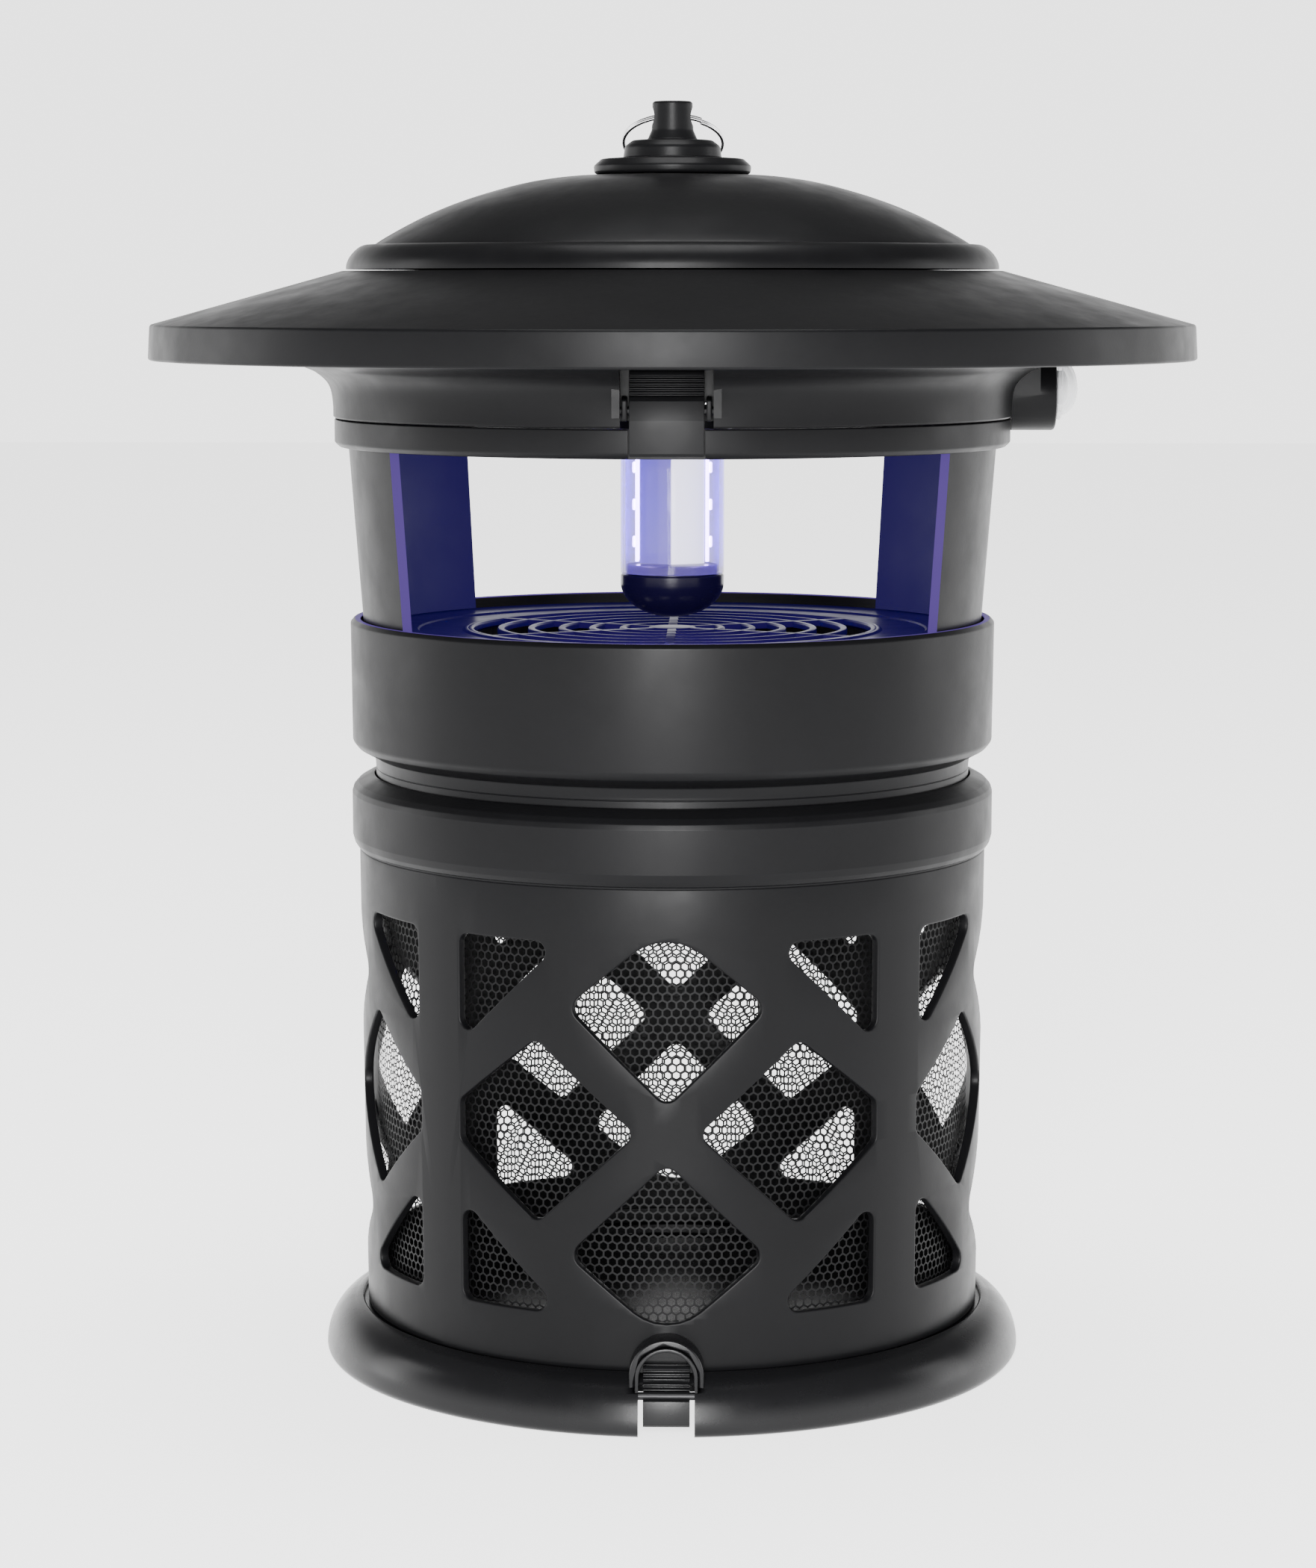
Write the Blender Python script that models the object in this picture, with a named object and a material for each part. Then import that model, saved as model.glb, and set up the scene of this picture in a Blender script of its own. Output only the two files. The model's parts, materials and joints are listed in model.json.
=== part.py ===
"""Outdoor insect trap: a lamp under a canopy, a suction fan below it, a lattice cage at the bottom.

Dimensions are in millimetres and the meshes are written in metres, +Z up, with the origin at
the middle of the rim that the trap stands on.  The front, with the clip and the latch, faces -Y.
Azimuths are in degrees from the front, growing towards +X.
"""
import math

import bmesh
import bpy
from mathutils import Matrix, Vector

MM = 0.001
GAP = 0.3                  # clearance between touching pieces
SEG = 36                   # sides of the large turned pieces
SMALL_SEG = 16             # sides of small turned pieces

# base ring, door and latch
BASE_R = 91.1
BASE_FOOT_R = 89.1
BASE_LIP_Z = 14.2
LEDGE_R = 74.6
LEDGE_Z = (10.9, 13.2)
LATCH_W = 11.4
LATCH_PIVOT = (-86.6, 9.6)         # y, z
DOOR_R = 78.5
DOOR_Z = (8.2, 10.4)
DOOR_HINGE = (80.0, 7.0)           # y, z
DOOR_PIN_R = 1.2

# lattice cage
CAGE_TOP_R = 81.4
CAGE_BOTTOM_R = 80.2
CAGE_WALL = 2.4
CAGE_LIP_R = 83.2
CAGE_TOP_Z = 152.8
CAGE_LIP_Z = 134.2
BASKET_R = 77.2
BASKET_WALL = 0.8
BASKET_TOP_Z = 136.7

# fan housing
COLLAR_R = 83.3
COLLAR_Z = (158.0, 193.0)
NECK_R = 77.0
NECK_BOTTOM_Z = 137.0
COLLAR_WALL = 2.4
GRILLE_Z = (188.6, 190.2)
GRILLE_RINGS = [12.8 + 7.92 * i for i in range(6)]
GRILLE_BAR = 1.8
GRILLE_SPOKES = 6
DUCT_R = 51.0
ROTOR_R = 49.4
ROTOR_BLADES = 7
HUB_R = 15.5

# window frame between the fan housing and the lid
POST_TOP_R = 83.4
POST_BOTTOM_R = 79.8
POST_WALL = 2.6
RING_R = 86.9
RING_Z = (237.1, 244.3)
FRONT_WINDOW = 56.0                # half angle of the front opening
REAR_WINDOW = 45.0

# lid
LID_R = 87.2
LID_BOTTOM_Z = 244.6
LID_FLOOR_Z = (246.2, 248.6)
LID_WALL_R = 100.0
ROOF_R = 134.0
ROOF_RIM_Z = (259.3, 268.2)
ROOF_LAND_R = 84.0
ROOF_LAND_Z = 281.8
ROOF_OPENING_R = 60.0
ROOF_WALL = 2.4
DOME_R = 83.6
DOME_TOP_Z = 306.0
FINIAL_TOP_Z = 324.8
RING_HOLE_Z = 320.9
RING_HOLE_R = 2.4
HANGER_R = 12.8                    # mean radius of the hanging ring
HANGER_WIRE_R = 0.95
HANGER_LEAN = 62.0                 # degrees that the ring leans back from hanging straight

# lamp
LAMP_R = 13.4
LAMP_WALL = 1.2
LAMP_Z = (204.3, 242.0)
LAMP_CAP_Z = 192.8
CORE_HALF = (8.3, 3.4)             # half width of the LED core, and of its flat sides

# clips on the lid
CLIP_W = 17.8
CLIP_PIVOT = (-84.2, 248.6)        # y, z of the front clip

# switch on the +X side
SWITCH_Z = 250.6
SWITCH_R = 9.5
SWITCH_BORE_R = 7.3
SWITCH_END_X = 98.4
BOOT_R = 7.0
BUTTON_R = 4.4


# ---------------------------------------------------------------- scene helpers

def clear_scene():
    for obj in list(bpy.data.objects):
        bpy.data.objects.remove(obj, do_unlink=True)
    for block in list(bpy.data.meshes) + list(bpy.data.curves):
        if block.users == 0:
            (bpy.data.meshes if isinstance(block, bpy.types.Mesh) else bpy.data.curves).remove(block)


def material(name, colour, roughness=0.5, metallic=0.0, transmission=0.0):
    mat = bpy.data.materials.get(name)
    if mat is None:
        mat = bpy.data.materials.new(name)
        mat.use_nodes = True
        shader = mat.node_tree.nodes["Principled BSDF"]
        shader.inputs["Base Color"].default_value = (*colour, 1.0)
        shader.inputs["Roughness"].default_value = roughness
        shader.inputs["Metallic"].default_value = metallic
        shader.inputs["Transmission Weight"].default_value = transmission
    return mat


def charcoal(name):
    return material(name, (0.055, 0.055, 0.06), 0.38)


def steel(name):
    return material(name, (0.62, 0.62, 0.64), 0.28, 1.0)


BODIES = {}


def body(name, origin, parent=None):
    """An empty on a body's joint; its pieces are parented to it."""
    empty = bpy.data.objects.new("body_" + name, None)
    bpy.context.scene.collection.objects.link(empty)
    place = Vector(origin)
    if parent:
        empty.parent = BODIES[parent][0]
        empty.location = (place - BODIES[parent][1]) * MM
    else:
        empty.location = place * MM
    BODIES[name] = (empty, place)


def link_mesh(name, bm, body_name):
    empty, origin = BODIES[body_name]
    bmesh.ops.remove_doubles(bm, verts=bm.verts, dist=0.0005)
    bmesh.ops.recalc_face_normals(bm, faces=bm.faces)
    bm.transform(Matrix.Scale(MM, 4) @ Matrix.Translation(-origin))
    mesh = bpy.data.meshes.new(name)
    bm.to_mesh(mesh)
    bm.free()
    obj = bpy.data.objects.new(name, mesh)
    bpy.context.scene.collection.objects.link(obj)
    obj.parent = empty
    return obj


def node(name, bm, mat, body_name="cage"):
    """One named piece of the assembly."""
    obj = link_mesh(name, bm, body_name)
    obj.data.materials.append(mat)
    obj.data.shade_smooth()
    obj.data.set_sharp_from_angle(angle=math.radians(32))
    return obj


def boolean(obj, bm, operation, body_name="cage"):
    tool = link_mesh(obj.name + "_" + operation.lower(), bm, body_name)
    tool.hide_render = True
    tool.display_type = 'WIRE'
    mod = obj.modifiers.new(operation.title(), 'BOOLEAN')
    mod.operation = operation
    mod.solver = 'EXACT'
    mod.object = tool


def cut(obj, bm, body_name="cage"):
    boolean(obj, bm, 'DIFFERENCE', body_name)


def fuse(obj, bm, body_name="cage"):
    boolean(obj, bm, 'UNION', body_name)


# ---------------------------------------------------------------- solid helpers

def polar(radius, azimuth, z):
    a = math.radians(azimuth)
    return Vector((radius * math.sin(a), -radius * math.cos(a), z))


def merge(*meshes):
    """Several separate solids in one mesh."""
    whole = bmesh.new()
    for bm in meshes:
        spare = bpy.data.meshes.new("spare")
        bm.to_mesh(spare)
        bm.free()
        whole.from_mesh(spare)
        bpy.data.meshes.remove(spare)
    return whole


def moved(bm, offset=(0, 0, 0), azimuth=0.0, tilt=None):
    """Turned about Z by an azimuth, after an optional tilt matrix and offset."""
    if tilt is not None:
        bm.transform(tilt)
    bm.transform(Matrix.Translation(Vector(offset)))
    bm.transform(Matrix.Rotation(math.radians(azimuth), 4, 'Z'))
    return bm


def loft(rings, closed):
    """Faces between rows of points; a row of one point is a pole."""
    bm = bmesh.new()
    rows = [[bm.verts.new(p) for p in ring] for ring in rings]
    pairs = list(zip(rows, rows[1:]))
    if closed:
        pairs.append((rows[-1], rows[0]))
    count = max(len(row) for row in rows)
    for a, b in pairs:
        for i in range(count):
            j = (i + 1) % count
            corners = [a[i % len(a)], a[j % len(a)], b[j % len(b)], b[i % len(b)]]
            bm.faces.new(list(dict.fromkeys(corners)))
    return bm


def turned(profile, segments=SEG):
    """A solid of revolution about Z; a profile clear of the axis makes a ring."""
    rings = []
    for r, z in profile:
        if r < 1e-6:
            rings.append([Vector((0, 0, z))])
        else:
            rings.append([polar(r, 360.0 * i / segments, z) for i in range(segments)])
    on_axis = profile[0][0] < 1e-6 and profile[-1][0] < 1e-6
    return loft(rings, closed=not on_axis)


def tube(r_out, r_in, z0, z1, segments=SMALL_SEG):
    return turned([(r_out, z1), (r_out, z0), (r_in, z0), (r_in, z1)], segments)


def disc(radius, z0, z1, segments=SMALL_SEG):
    return turned([(0, z1), (radius, z1), (radius, z0), (0, z0)], segments)


AXIS_TURN = {
    'X': Matrix.Rotation(math.radians(90), 4, 'Y'),
    'Y': Matrix.Rotation(math.radians(-90), 4, 'X'),
}


def along(axis, bm, offset):
    """A solid turned about Z, laid along X or Y through a point."""
    return moved(bm, offset, tilt=AXIS_TURN[axis])


def block(x0, x1, y0, y1, z0, z1):
    low = [Vector((x0, y0, z0)), Vector((x1, y0, z0)), Vector((x1, y1, z0)), Vector((x0, y1, z0))]
    high = [p + Vector((0, 0, z1 - z0)) for p in low]
    return prism(low, high)


def prism(low, high):
    bm = loft([low, high], closed=False)
    bm.verts.ensure_lookup_table()
    bm.faces.new(bm.verts[:len(low)])
    bm.faces.new(bm.verts[len(low):])
    return bm


def plate_x(outline, x0, x1):
    """A (y, z) outline drawn out along X."""
    return prism([Vector((x0, y, z)) for y, z in outline], [Vector((x1, y, z)) for y, z in outline])


def plate_y(outline, y0, y1):
    """An (x, z) outline drawn out along Y."""
    return prism([Vector((x, y0, z)) for x, z in outline], [Vector((x, y1, z)) for x, z in outline])


def sector(r0, r1, a0, a1, z0, z1, steps):
    """A block between two radii and two azimuths."""
    angles = [a0 + (a1 - a0) * i / steps for i in range(steps + 1)]
    outline = [(r1, a) for a in angles] + [(r0, a) for a in reversed(angles)]
    return prism([polar(r, a, z0) for r, a in outline], [polar(r, a, z1) for r, a in outline])


def radial_prism(outline, r0, r1):
    """An (azimuth, z) outline drawn out along the radius."""
    return prism([polar(r0, a, z) for a, z in outline], [polar(r1, a, z) for a, z in outline])


def arc(cx, cz, radius_x, radius_z, start, end, steps):
    """Points on an ellipse, with angles from +Z turning towards +X."""
    points = []
    for i in range(steps + 1):
        t = math.radians(start + (end - start) * i / steps)
        points.append((cx + radius_x * math.sin(t), cz + radius_z * math.cos(t)))
    return points


def rounded(corners, radius, steps=2):
    """An outline with every corner rounded off; a corner may carry its own radius."""
    outline = []
    count = len(corners)
    for i in range(count):
        here = Vector(corners[i][:2])
        r = corners[i][2] if len(corners[i]) > 2 else radius
        to_prev = (Vector(corners[i - 1][:2]) - here).normalized()
        to_next = (Vector(corners[(i + 1) % count][:2]) - here).normalized()
        half = math.acos(max(-1.0, min(1.0, to_prev.dot(to_next)))) / 2
        reach = r / math.tan(half)
        middle = here + (to_prev + to_next).normalized() * (r / math.sin(half))
        first = here + to_prev * reach - middle
        last = here + to_next * reach - middle
        sweep = first.angle_signed(last)
        for k in range(steps + 1):
            p = first.copy()
            p.rotate(Matrix.Rotation(-sweep * k / steps, 2))
            outline.append(tuple(middle + p))
    return outline


def wire(name, points, radius, mat, body_name):
    """A round wire on a smooth line through its points."""
    smooth = []
    ends = [points[0]] + list(points) + [points[-1]]
    for i in range(1, len(ends) - 2):
        p0, p1, p2, p3 = (Vector(p) for p in ends[i - 1:i + 3])
        for k in range(2):
            t = k / 2
            smooth.append(0.5 * (2 * p1 + (p2 - p0) * t + (2 * p0 - 5 * p1 + 4 * p2 - p3) * t * t
                                 + (3 * p1 - p0 - 3 * p2 + p3) * t ** 3))
    smooth.append(Vector(points[-1]))
    empty, origin = BODIES[body_name]
    curve = bpy.data.curves.new(name, 'CURVE')
    curve.dimensions = '3D'
    curve.bevel_depth = radius * MM
    curve.bevel_resolution = 0
    curve.use_fill_caps = True
    spline = curve.splines.new('POLY')
    spline.points.add(len(smooth) - 1)
    for point, place in zip(spline.points, smooth):
        point.co = (*((place - origin) * MM), 1.0)
    obj = bpy.data.objects.new(name, curve)
    bpy.context.scene.collection.objects.link(obj)
    obj.data.materials.append(mat)
    obj.parent = empty


# ---------------------------------------------------------------- base, door and latch

def base_skirt(inset):
    """The bell-shaped skirt from under the lip down to its widest part."""
    return arc(81.0, 2.0, BASE_R - 81.0 - inset, 12.0 - 1.2 * inset, 10 if inset == 0 else 4, 90, 4)


def arch(half_width, top_z, bottom_z, steps=8):
    outline = [(-half_width, bottom_z), (half_width, bottom_z)]
    for i in range(steps + 1):
        t = math.pi * i / steps
        outline.append((half_width * math.cos(t), top_z - half_width + half_width * math.sin(t)))
    return outline


def base_ring():
    lip = [(81.1, LEDGE_Z[1]), (81.4, BASE_LIP_Z), (82.3, BASE_LIP_Z)]
    foot = arc(BASE_FOOT_R, 2.0, 2.0, 2.0, 90, 180, 2)
    inner = list(reversed(base_skirt(2.5)))
    profile = lip + base_skirt(0) + foot[1:] + [(86.9, 0.0)] + inner
    profile += [(LEDGE_R, LEDGE_Z[0]), (LEDGE_R, LEDGE_Z[1])]
    ring = node("base_ring", turned(profile), charcoal("base_plastic"))
    y, z = DOOR_HINGE
    ears = [block(s * 9.4 - (3.2 if s < 0 else 0), s * 9.4 + (3.2 if s > 0 else 0),
                  y - 3, y + 3, z - 2.6, LEDGE_Z[0] + 0.8) for s in (-1, 1)]
    hood = plate_y(arch(9.3, 23.8, 11.6), -87.4, -78.0)
    fuse(ring, merge(*ears, hood))
    notch = plate_y([(-6.9, -1.0), (6.9, -1.0), (6.9, 12.6), (-6.9, 12.6)], -95.0, -81.6)
    opening = plate_y(arch(6.7, 20.8, 11.0), -90.0, -81.8)
    cut(ring, notch)
    cut(ring, opening)
    cut(ring, disc(80.9, LEDGE_Z[1], 30.0, SEG))
    hinge_hole = along('X', disc(DOOR_PIN_R + GAP, -20, 20, 16), (0, y, z))
    latch_hole = along('X', disc(1.0 + GAP, -9.6, 9.6, 16), (0, *LATCH_PIVOT))
    cut(ring, merge(hinge_hole, latch_hole))


def bottom_door():
    y, z = DOOR_HINGE
    profile = [(0, DOOR_Z[1]), (71.0, DOOR_Z[1]), (71.8, DOOR_Z[1] - 0.4), (DOOR_R, DOOR_Z[1] - 0.4),
               (DOOR_R, DOOR_Z[0]), (70.0, DOOR_Z[0]), (69.2, DOOR_Z[0] + 0.8), (0, DOOR_Z[0] + 0.8)]
    door = node("bottom_door", turned(profile), charcoal("door_plastic"), "bottom_door")
    knuckle = along('X', disc(2.4, -9.0, 9.0, 16), (0, y, z))
    web = block(-8.8, 8.8, 74.0, y, DOOR_Z[0] + 0.1, DOOR_Z[1] - 0.5)
    tab = block(-5.4, 5.4, -82.2, -76.0, DOOR_Z[0] + 0.1, DOOR_Z[1] - 0.5)
    fuse(door, web, "bottom_door")
    fuse(door, knuckle, "bottom_door")
    fuse(door, tab, "bottom_door")
    ear_room = [block(min(s * 9.1, s * 13.4), max(s * 9.1, s * 13.4), y - 3.6, y + 5, 5, 12)
                for s in (-1, 1)]
    cut(door, merge(*ear_room), "bottom_door")
    cut(door, along('X', disc(DOOR_PIN_R + GAP, -12, 12, 16), (0, y, z)), "bottom_door")
    pin = along('X', disc(DOOR_PIN_R, -12.3, 12.3, 16), (0, y, z))
    node("door_hinge_pin", pin, steel("pin_steel"))


def bottom_latch():
    y, z = LATCH_PIVOT
    front = [(-85.0, 16.7)]
    for i in range(4):
        top = 16.2 - 1.6 * i
        front += [(-85.7 - 0.12 * i, top), (-85.0 - 0.12 * i, top - 0.85)]
    outline = front + [(-88.6, 9.4), (-89.0, 3.0), (-88.4, 2.3), (-86.6, 2.3), (-86.0, 4.4),
                       (-84.5, 8.4), (-83.4, 13.0), (-83.2, 16.7)]
    latch = node("bottom_latch", plate_x(outline, -LATCH_W / 2, LATCH_W / 2),
                 charcoal("latch_plastic"), "bottom_latch")
    cut(latch, along('X', disc(1.0 + GAP, -9, 9, 16), (0, y, z)), "bottom_latch")
    node("latch_pin", along('X', disc(1.0, -9.2, 9.2, 16), (0, y, z)), steel("pin_steel"))


# ---------------------------------------------------------------- lattice cage

ARC_MM = math.radians(1.0) * 80.6        # millimetres of wall for each degree


def lattice_openings():
    """Outlines of one 90 degree panel, as (millimetres from its middle, z)."""
    upper = [(0.0, 124.5, 13.0), (24.8, 104.0), (0.0, 80.0)]
    lower = [(0.0, 65.8), (24.8, 42.2), (0.0, 22.0, 13.0)]
    side = [(7.6, 73.0), (33.0, 95.6), (56.0, 78.0), (56.0, 68.0), (33.0, 49.6)]
    top_corner = [(25.9, 119.9), (55.6, 119.9), (55.6, 92.4)]
    low_corner = [(55.6, 53.6), (55.6, 27.4), (25.9, 27.4)]
    panels = []
    for outline in (upper, lower):
        mirrored = [(-x, z, *r) for x, z, *r in reversed(outline) if x]
        panels.append(outline + mirrored)
    for outline in (side, top_corner, low_corner):
        panels.append(outline)
        panels.append([(-x, z) for x, z in reversed(outline)])
    return panels


def cage_shell():
    lip = [(77.4, CAGE_TOP_Z), (80.4, 151.5), (82.4, 149.8), (CAGE_LIP_R, 148.2),
           (CAGE_LIP_R, 136.9), (81.9, CAGE_LIP_Z), (CAGE_TOP_R, 133.8)]
    inner = [(CAGE_BOTTOM_R - CAGE_WALL, LEDGE_Z[1] + GAP), (CAGE_TOP_R - CAGE_WALL, 133.0),
             (80.8, 138.0), (80.8, 147.4), (77.4, 149.8)]
    profile = lip + [(CAGE_BOTTOM_R, LEDGE_Z[1] + GAP)] + inner
    cage = node("cage_shell", turned(profile), charcoal("cage_plastic"))
    holes = []
    for quarter in range(4):
        for outline in lattice_openings():
            shape = rounded(outline, 2.6, 1)
            holes.append(radial_prism([(90 * quarter + s / ARC_MM, z) for s, z in shape], 74.0, 86.0))
    cut(cage, merge(*holes))


def mesh_basket():
    low, high = LEDGE_Z[1] + GAP, BASKET_TOP_Z
    node("mesh_basket", tube(BASKET_R, BASKET_R - BASKET_WALL, low, high, SEG),
         material("mesh_black", (0.02, 0.02, 0.022), 0.5))


# ---------------------------------------------------------------- fan housing

def collar():
    outer = [(82.2, COLLAR_Z[1]), (COLLAR_R, COLLAR_Z[1] - 1.4), (82.95, 161.6), (81.4, 159.8),
             (NECK_R, 157.6), (NECK_R, NECK_BOTTOM_Z)]
    inner = [(NECK_R - COLLAR_WALL, NECK_BOTTOM_Z), (NECK_R - COLLAR_WALL, 159.6),
             (80.5, 163.4), (80.7, COLLAR_Z[1])]
    node("fan_collar", turned(outer + inner), charcoal("collar_plastic"), "fan_unit")


def grille():
    """A round plate with concentric bars, straight spokes and a solid rim."""
    half = GRILLE_BAR / 2
    radii = [6.0]
    for r in GRILLE_RINGS:
        radii += [r - half, r + half]
    radii.append(80.3)
    between = 3
    bm = bmesh.new()
    layers = []
    for z in (GRILLE_Z[0], GRILLE_Z[1]):
        rows = []
        for r in radii:
            row = []
            for s in range(GRILLE_SPOKES):
                middle = 360.0 * s / GRILLE_SPOKES
                edge = math.degrees(math.asin(1.2 / r))
                row.append(bm.verts.new(polar(r, middle - edge, z)))
                span = 360.0 / GRILLE_SPOKES - 2 * edge
                row += [bm.verts.new(polar(r, middle + edge + span * k / between, z))
                        for k in range(between)]
            rows.append(row)
        layers.append(rows)
    count = len(layers[0][0])
    hubs = [bm.verts.new((0, 0, z)) for z in GRILLE_Z]

    def solid(band, i):
        if band >= len(radii) - 1:
            return False
        return band % 2 == 1 or i % (between + 1) == 0 or band == len(radii) - 2

    for band in range(len(radii) - 1):
        for i in range(count):
            if not solid(band, i):
                continue
            j = (i + 1) % count
            for rows in layers:
                bm.faces.new((rows[band][i], rows[band][j], rows[band + 1][j], rows[band + 1][i]))
            sides = {(band, i, band, j): band == 0 or solid(band - 1, i),
                     (band + 1, i, band + 1, j): solid(band + 1, i),
                     (band, i, band + 1, i): solid(band, (i - 1) % count),
                     (band, j, band + 1, j): solid(band, j)}
            for (b0, i0, b1, i1), joined in sides.items():
                if not joined:
                    low, high = layers
                    bm.faces.new((low[b0][i0], low[b1][i1], high[b1][i1], high[b0][i0]))
    for i in range(count):
        j = (i + 1) % count
        for rows, hub in zip(layers, hubs):
            bm.faces.new((hub, rows[0][i], rows[0][j]))
        if not solid(0, i):
            low, high = layers
            bm.faces.new((low[0][i], low[0][j], high[0][j], high[0][i]))
    plate = node("fan_grille", bm, material("grille_blue", (0.03, 0.028, 0.08), 0.35), "fan_unit")
    cut(plate, moved(disc(3.2, 180, 200, 16), (73.6, 0, 0)), "fan_unit")


def fan_duct():
    top = GRILLE_Z[0] - GAP
    profile = [(DUCT_R, top), (DUCT_R + 0.6, top - 0.2), (79.9, top - 0.2), (79.9, top - 2.0),
               (DUCT_R + 2.2, top - 2.0), (DUCT_R + 2.2, 162.0), (DUCT_R, 162.0)]
    duct = node("fan_duct", turned(list(reversed(profile))), charcoal("duct_plastic"), "fan_unit")
    arms = [block(-2.2, 2.2, -(DUCT_R + 1.0), -10.0, 162.0, 164.6) for _ in range(3)]
    arms = [moved(arm, azimuth=60 + 120 * i) for i, arm in enumerate(arms)]
    fuse(duct, merge(*arms), "fan_unit")
    fuse(duct, tube(14.6, 5.0, 161.6, 164.8), "fan_unit")
    cut(duct, moved(disc(3.2, 180, 200, 16), (73.6, 0, 0)), "fan_unit")


def fan_motor():
    profile = [(4.6, 165.1), (12.6, 165.1), (12.6, 178.4), (4.6, 178.4)]
    node("fan_motor", turned(list(reversed(profile)), SMALL_SEG),
         material("motor_black", (0.05, 0.05, 0.05), 0.45, 0.3), "fan_unit")
    for label, z in (("lower", 165.6), ("upper", 174.8)):
        node("bearing_" + label, tube(4.3, 1.9, z, z + 3.0, 20), steel("bearing_steel"), "fan_unit")


def blade():
    """One pitched and swept fan blade, rooted inside the hub wall."""
    rows = []
    thick = 0.8
    for step in range(3):
        t = step / 2
        r = HUB_R - 1.2 + (ROTOR_R - HUB_R + 1.2) * t
        pitch = math.radians(42 - 18 * t)
        chord = 12.0 + 7.0 * t
        row = []
        for side in (1, -1):
            for k in (range(4) if side == 1 else reversed(range(4))):
                u = (k / 3 - 0.5) * chord
                camber = 1.6 * (1 - (2 * k / 3 - 1) ** 2)
                w = camber + side * thick * (0.5 if k in (0, 3) else 1.0)
                tangent = u * math.cos(pitch) - w * math.sin(pitch)
                rise = u * math.sin(pitch) + w * math.cos(pitch)
                azimuth = math.degrees(tangent / r) + 16 * t
                row.append(polar(r, azimuth, 175.4 + rise))
        rows.append(row)
    bm = loft(rows, closed=False)
    bm.verts.ensure_lookup_table()
    bm.faces.new(bm.verts[:8])
    bm.faces.new(bm.verts[-8:])
    return bm


def fan_rotor():
    profile = [(1.9, 181.0), (1.9, 183.4), (12.5, 183.4), (14.8, 182.8), (HUB_R, 181.6),
               (HUB_R, 167.0), (13.4, 167.0), (13.4, 181.0)]
    rotor = node("fan_rotor", turned(list(reversed(profile)), 21),
                 material("rotor_black", (0.03, 0.03, 0.032), 0.4), "fan_rotor")
    blades = [moved(blade(), azimuth=360.0 * i / ROTOR_BLADES) for i in range(ROTOR_BLADES)]
    fuse(rotor, merge(*blades), "fan_rotor")
    node("rotor_shaft", disc(1.5, 165.4, 184.2, 16), steel("shaft_steel"), "fan_rotor")


# ---------------------------------------------------------------- window frame

def window_frame():
    profile = [(80.7, RING_Z[1]), (RING_R, RING_Z[1]), (RING_R, 238.6), (86.3, 237.6),
               (85.4, RING_Z[0]), (POST_TOP_R, RING_Z[0] - 0.2), (POST_BOTTOM_R, GRILLE_Z[1] + GAP),
               (POST_BOTTOM_R - POST_WALL, GRILLE_Z[1] + GAP), (80.7, RING_Z[0])]
    frame = node("window_frame", turned(profile), charcoal("frame_plastic"), "fan_unit")
    front = sector(60, 95, -FRONT_WINDOW, FRONT_WINDOW, 180, RING_Z[0], 14)
    rear = sector(60, 95, 180 - REAR_WINDOW, 180 + REAR_WINDOW, 180, RING_Z[0], 12)
    notches = [moved(block(-9.2, 9.2, -95, -84.2, 230, 250), azimuth=a) for a in (0, 180)]
    cut(frame, merge(front, rear), "fan_unit")
    cut(frame, merge(*notches), "fan_unit")


def wire_channel():
    outline = [(76.3, -5.2), (76.3, 5.2), (70.8, 5.2), (70.8, -5.2)]
    inner = [(77.3, -4.0), (77.3, 4.0), (72.0, 4.0), (72.0, -4.0)]
    low, high = GRILLE_Z[1] + GAP, 231.5
    channel = node("wire_channel", prism([Vector((x, y, low)) for x, y in outline],
                                         [Vector((x, y, high)) for x, y in outline]),
                   charcoal("channel_plastic"), "fan_unit")
    cut(channel, prism([Vector((x, y, low - 5)) for x, y in inner],
                       [Vector((x, y, high + 5)) for x, y in inner]), "fan_unit")
    node("fan_socket", block(70.5, 78.6, -5.6, 5.6, 232.2, 240.0),
         material("connector_black", (0.03, 0.03, 0.03), 0.5), "fan_unit")
    route = [(73.6, 0, 231.8), (73.6, 0, 215), (73.6, 0, 200), (73.6, 0, 188), (73.0, 0, 181),
             (66.0, 0, 176.0), (58.0, 0, 172.0), (55.2, 0, 166.0), (55.0, 0, 162.0),
             (53.2, 0, 159.9), (46.0, 0, 159.6), (34.0, 0, 159.6), (20.0, 0, 159.6), (10.0, 0, 160.2)]
    wire("fan_wires", route, 0.9, material("wire_black", (0.03, 0.03, 0.03), 0.5), "fan_unit")


# ---------------------------------------------------------------- lid

def roof_under(r):
    slope = (ROOF_LAND_Z - ROOF_RIM_Z[1]) / (ROOF_R - 0.6 - ROOF_LAND_R)
    return ROOF_LAND_Z - ROOF_WALL - slope * max(0.0, r - ROOF_LAND_R)


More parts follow.
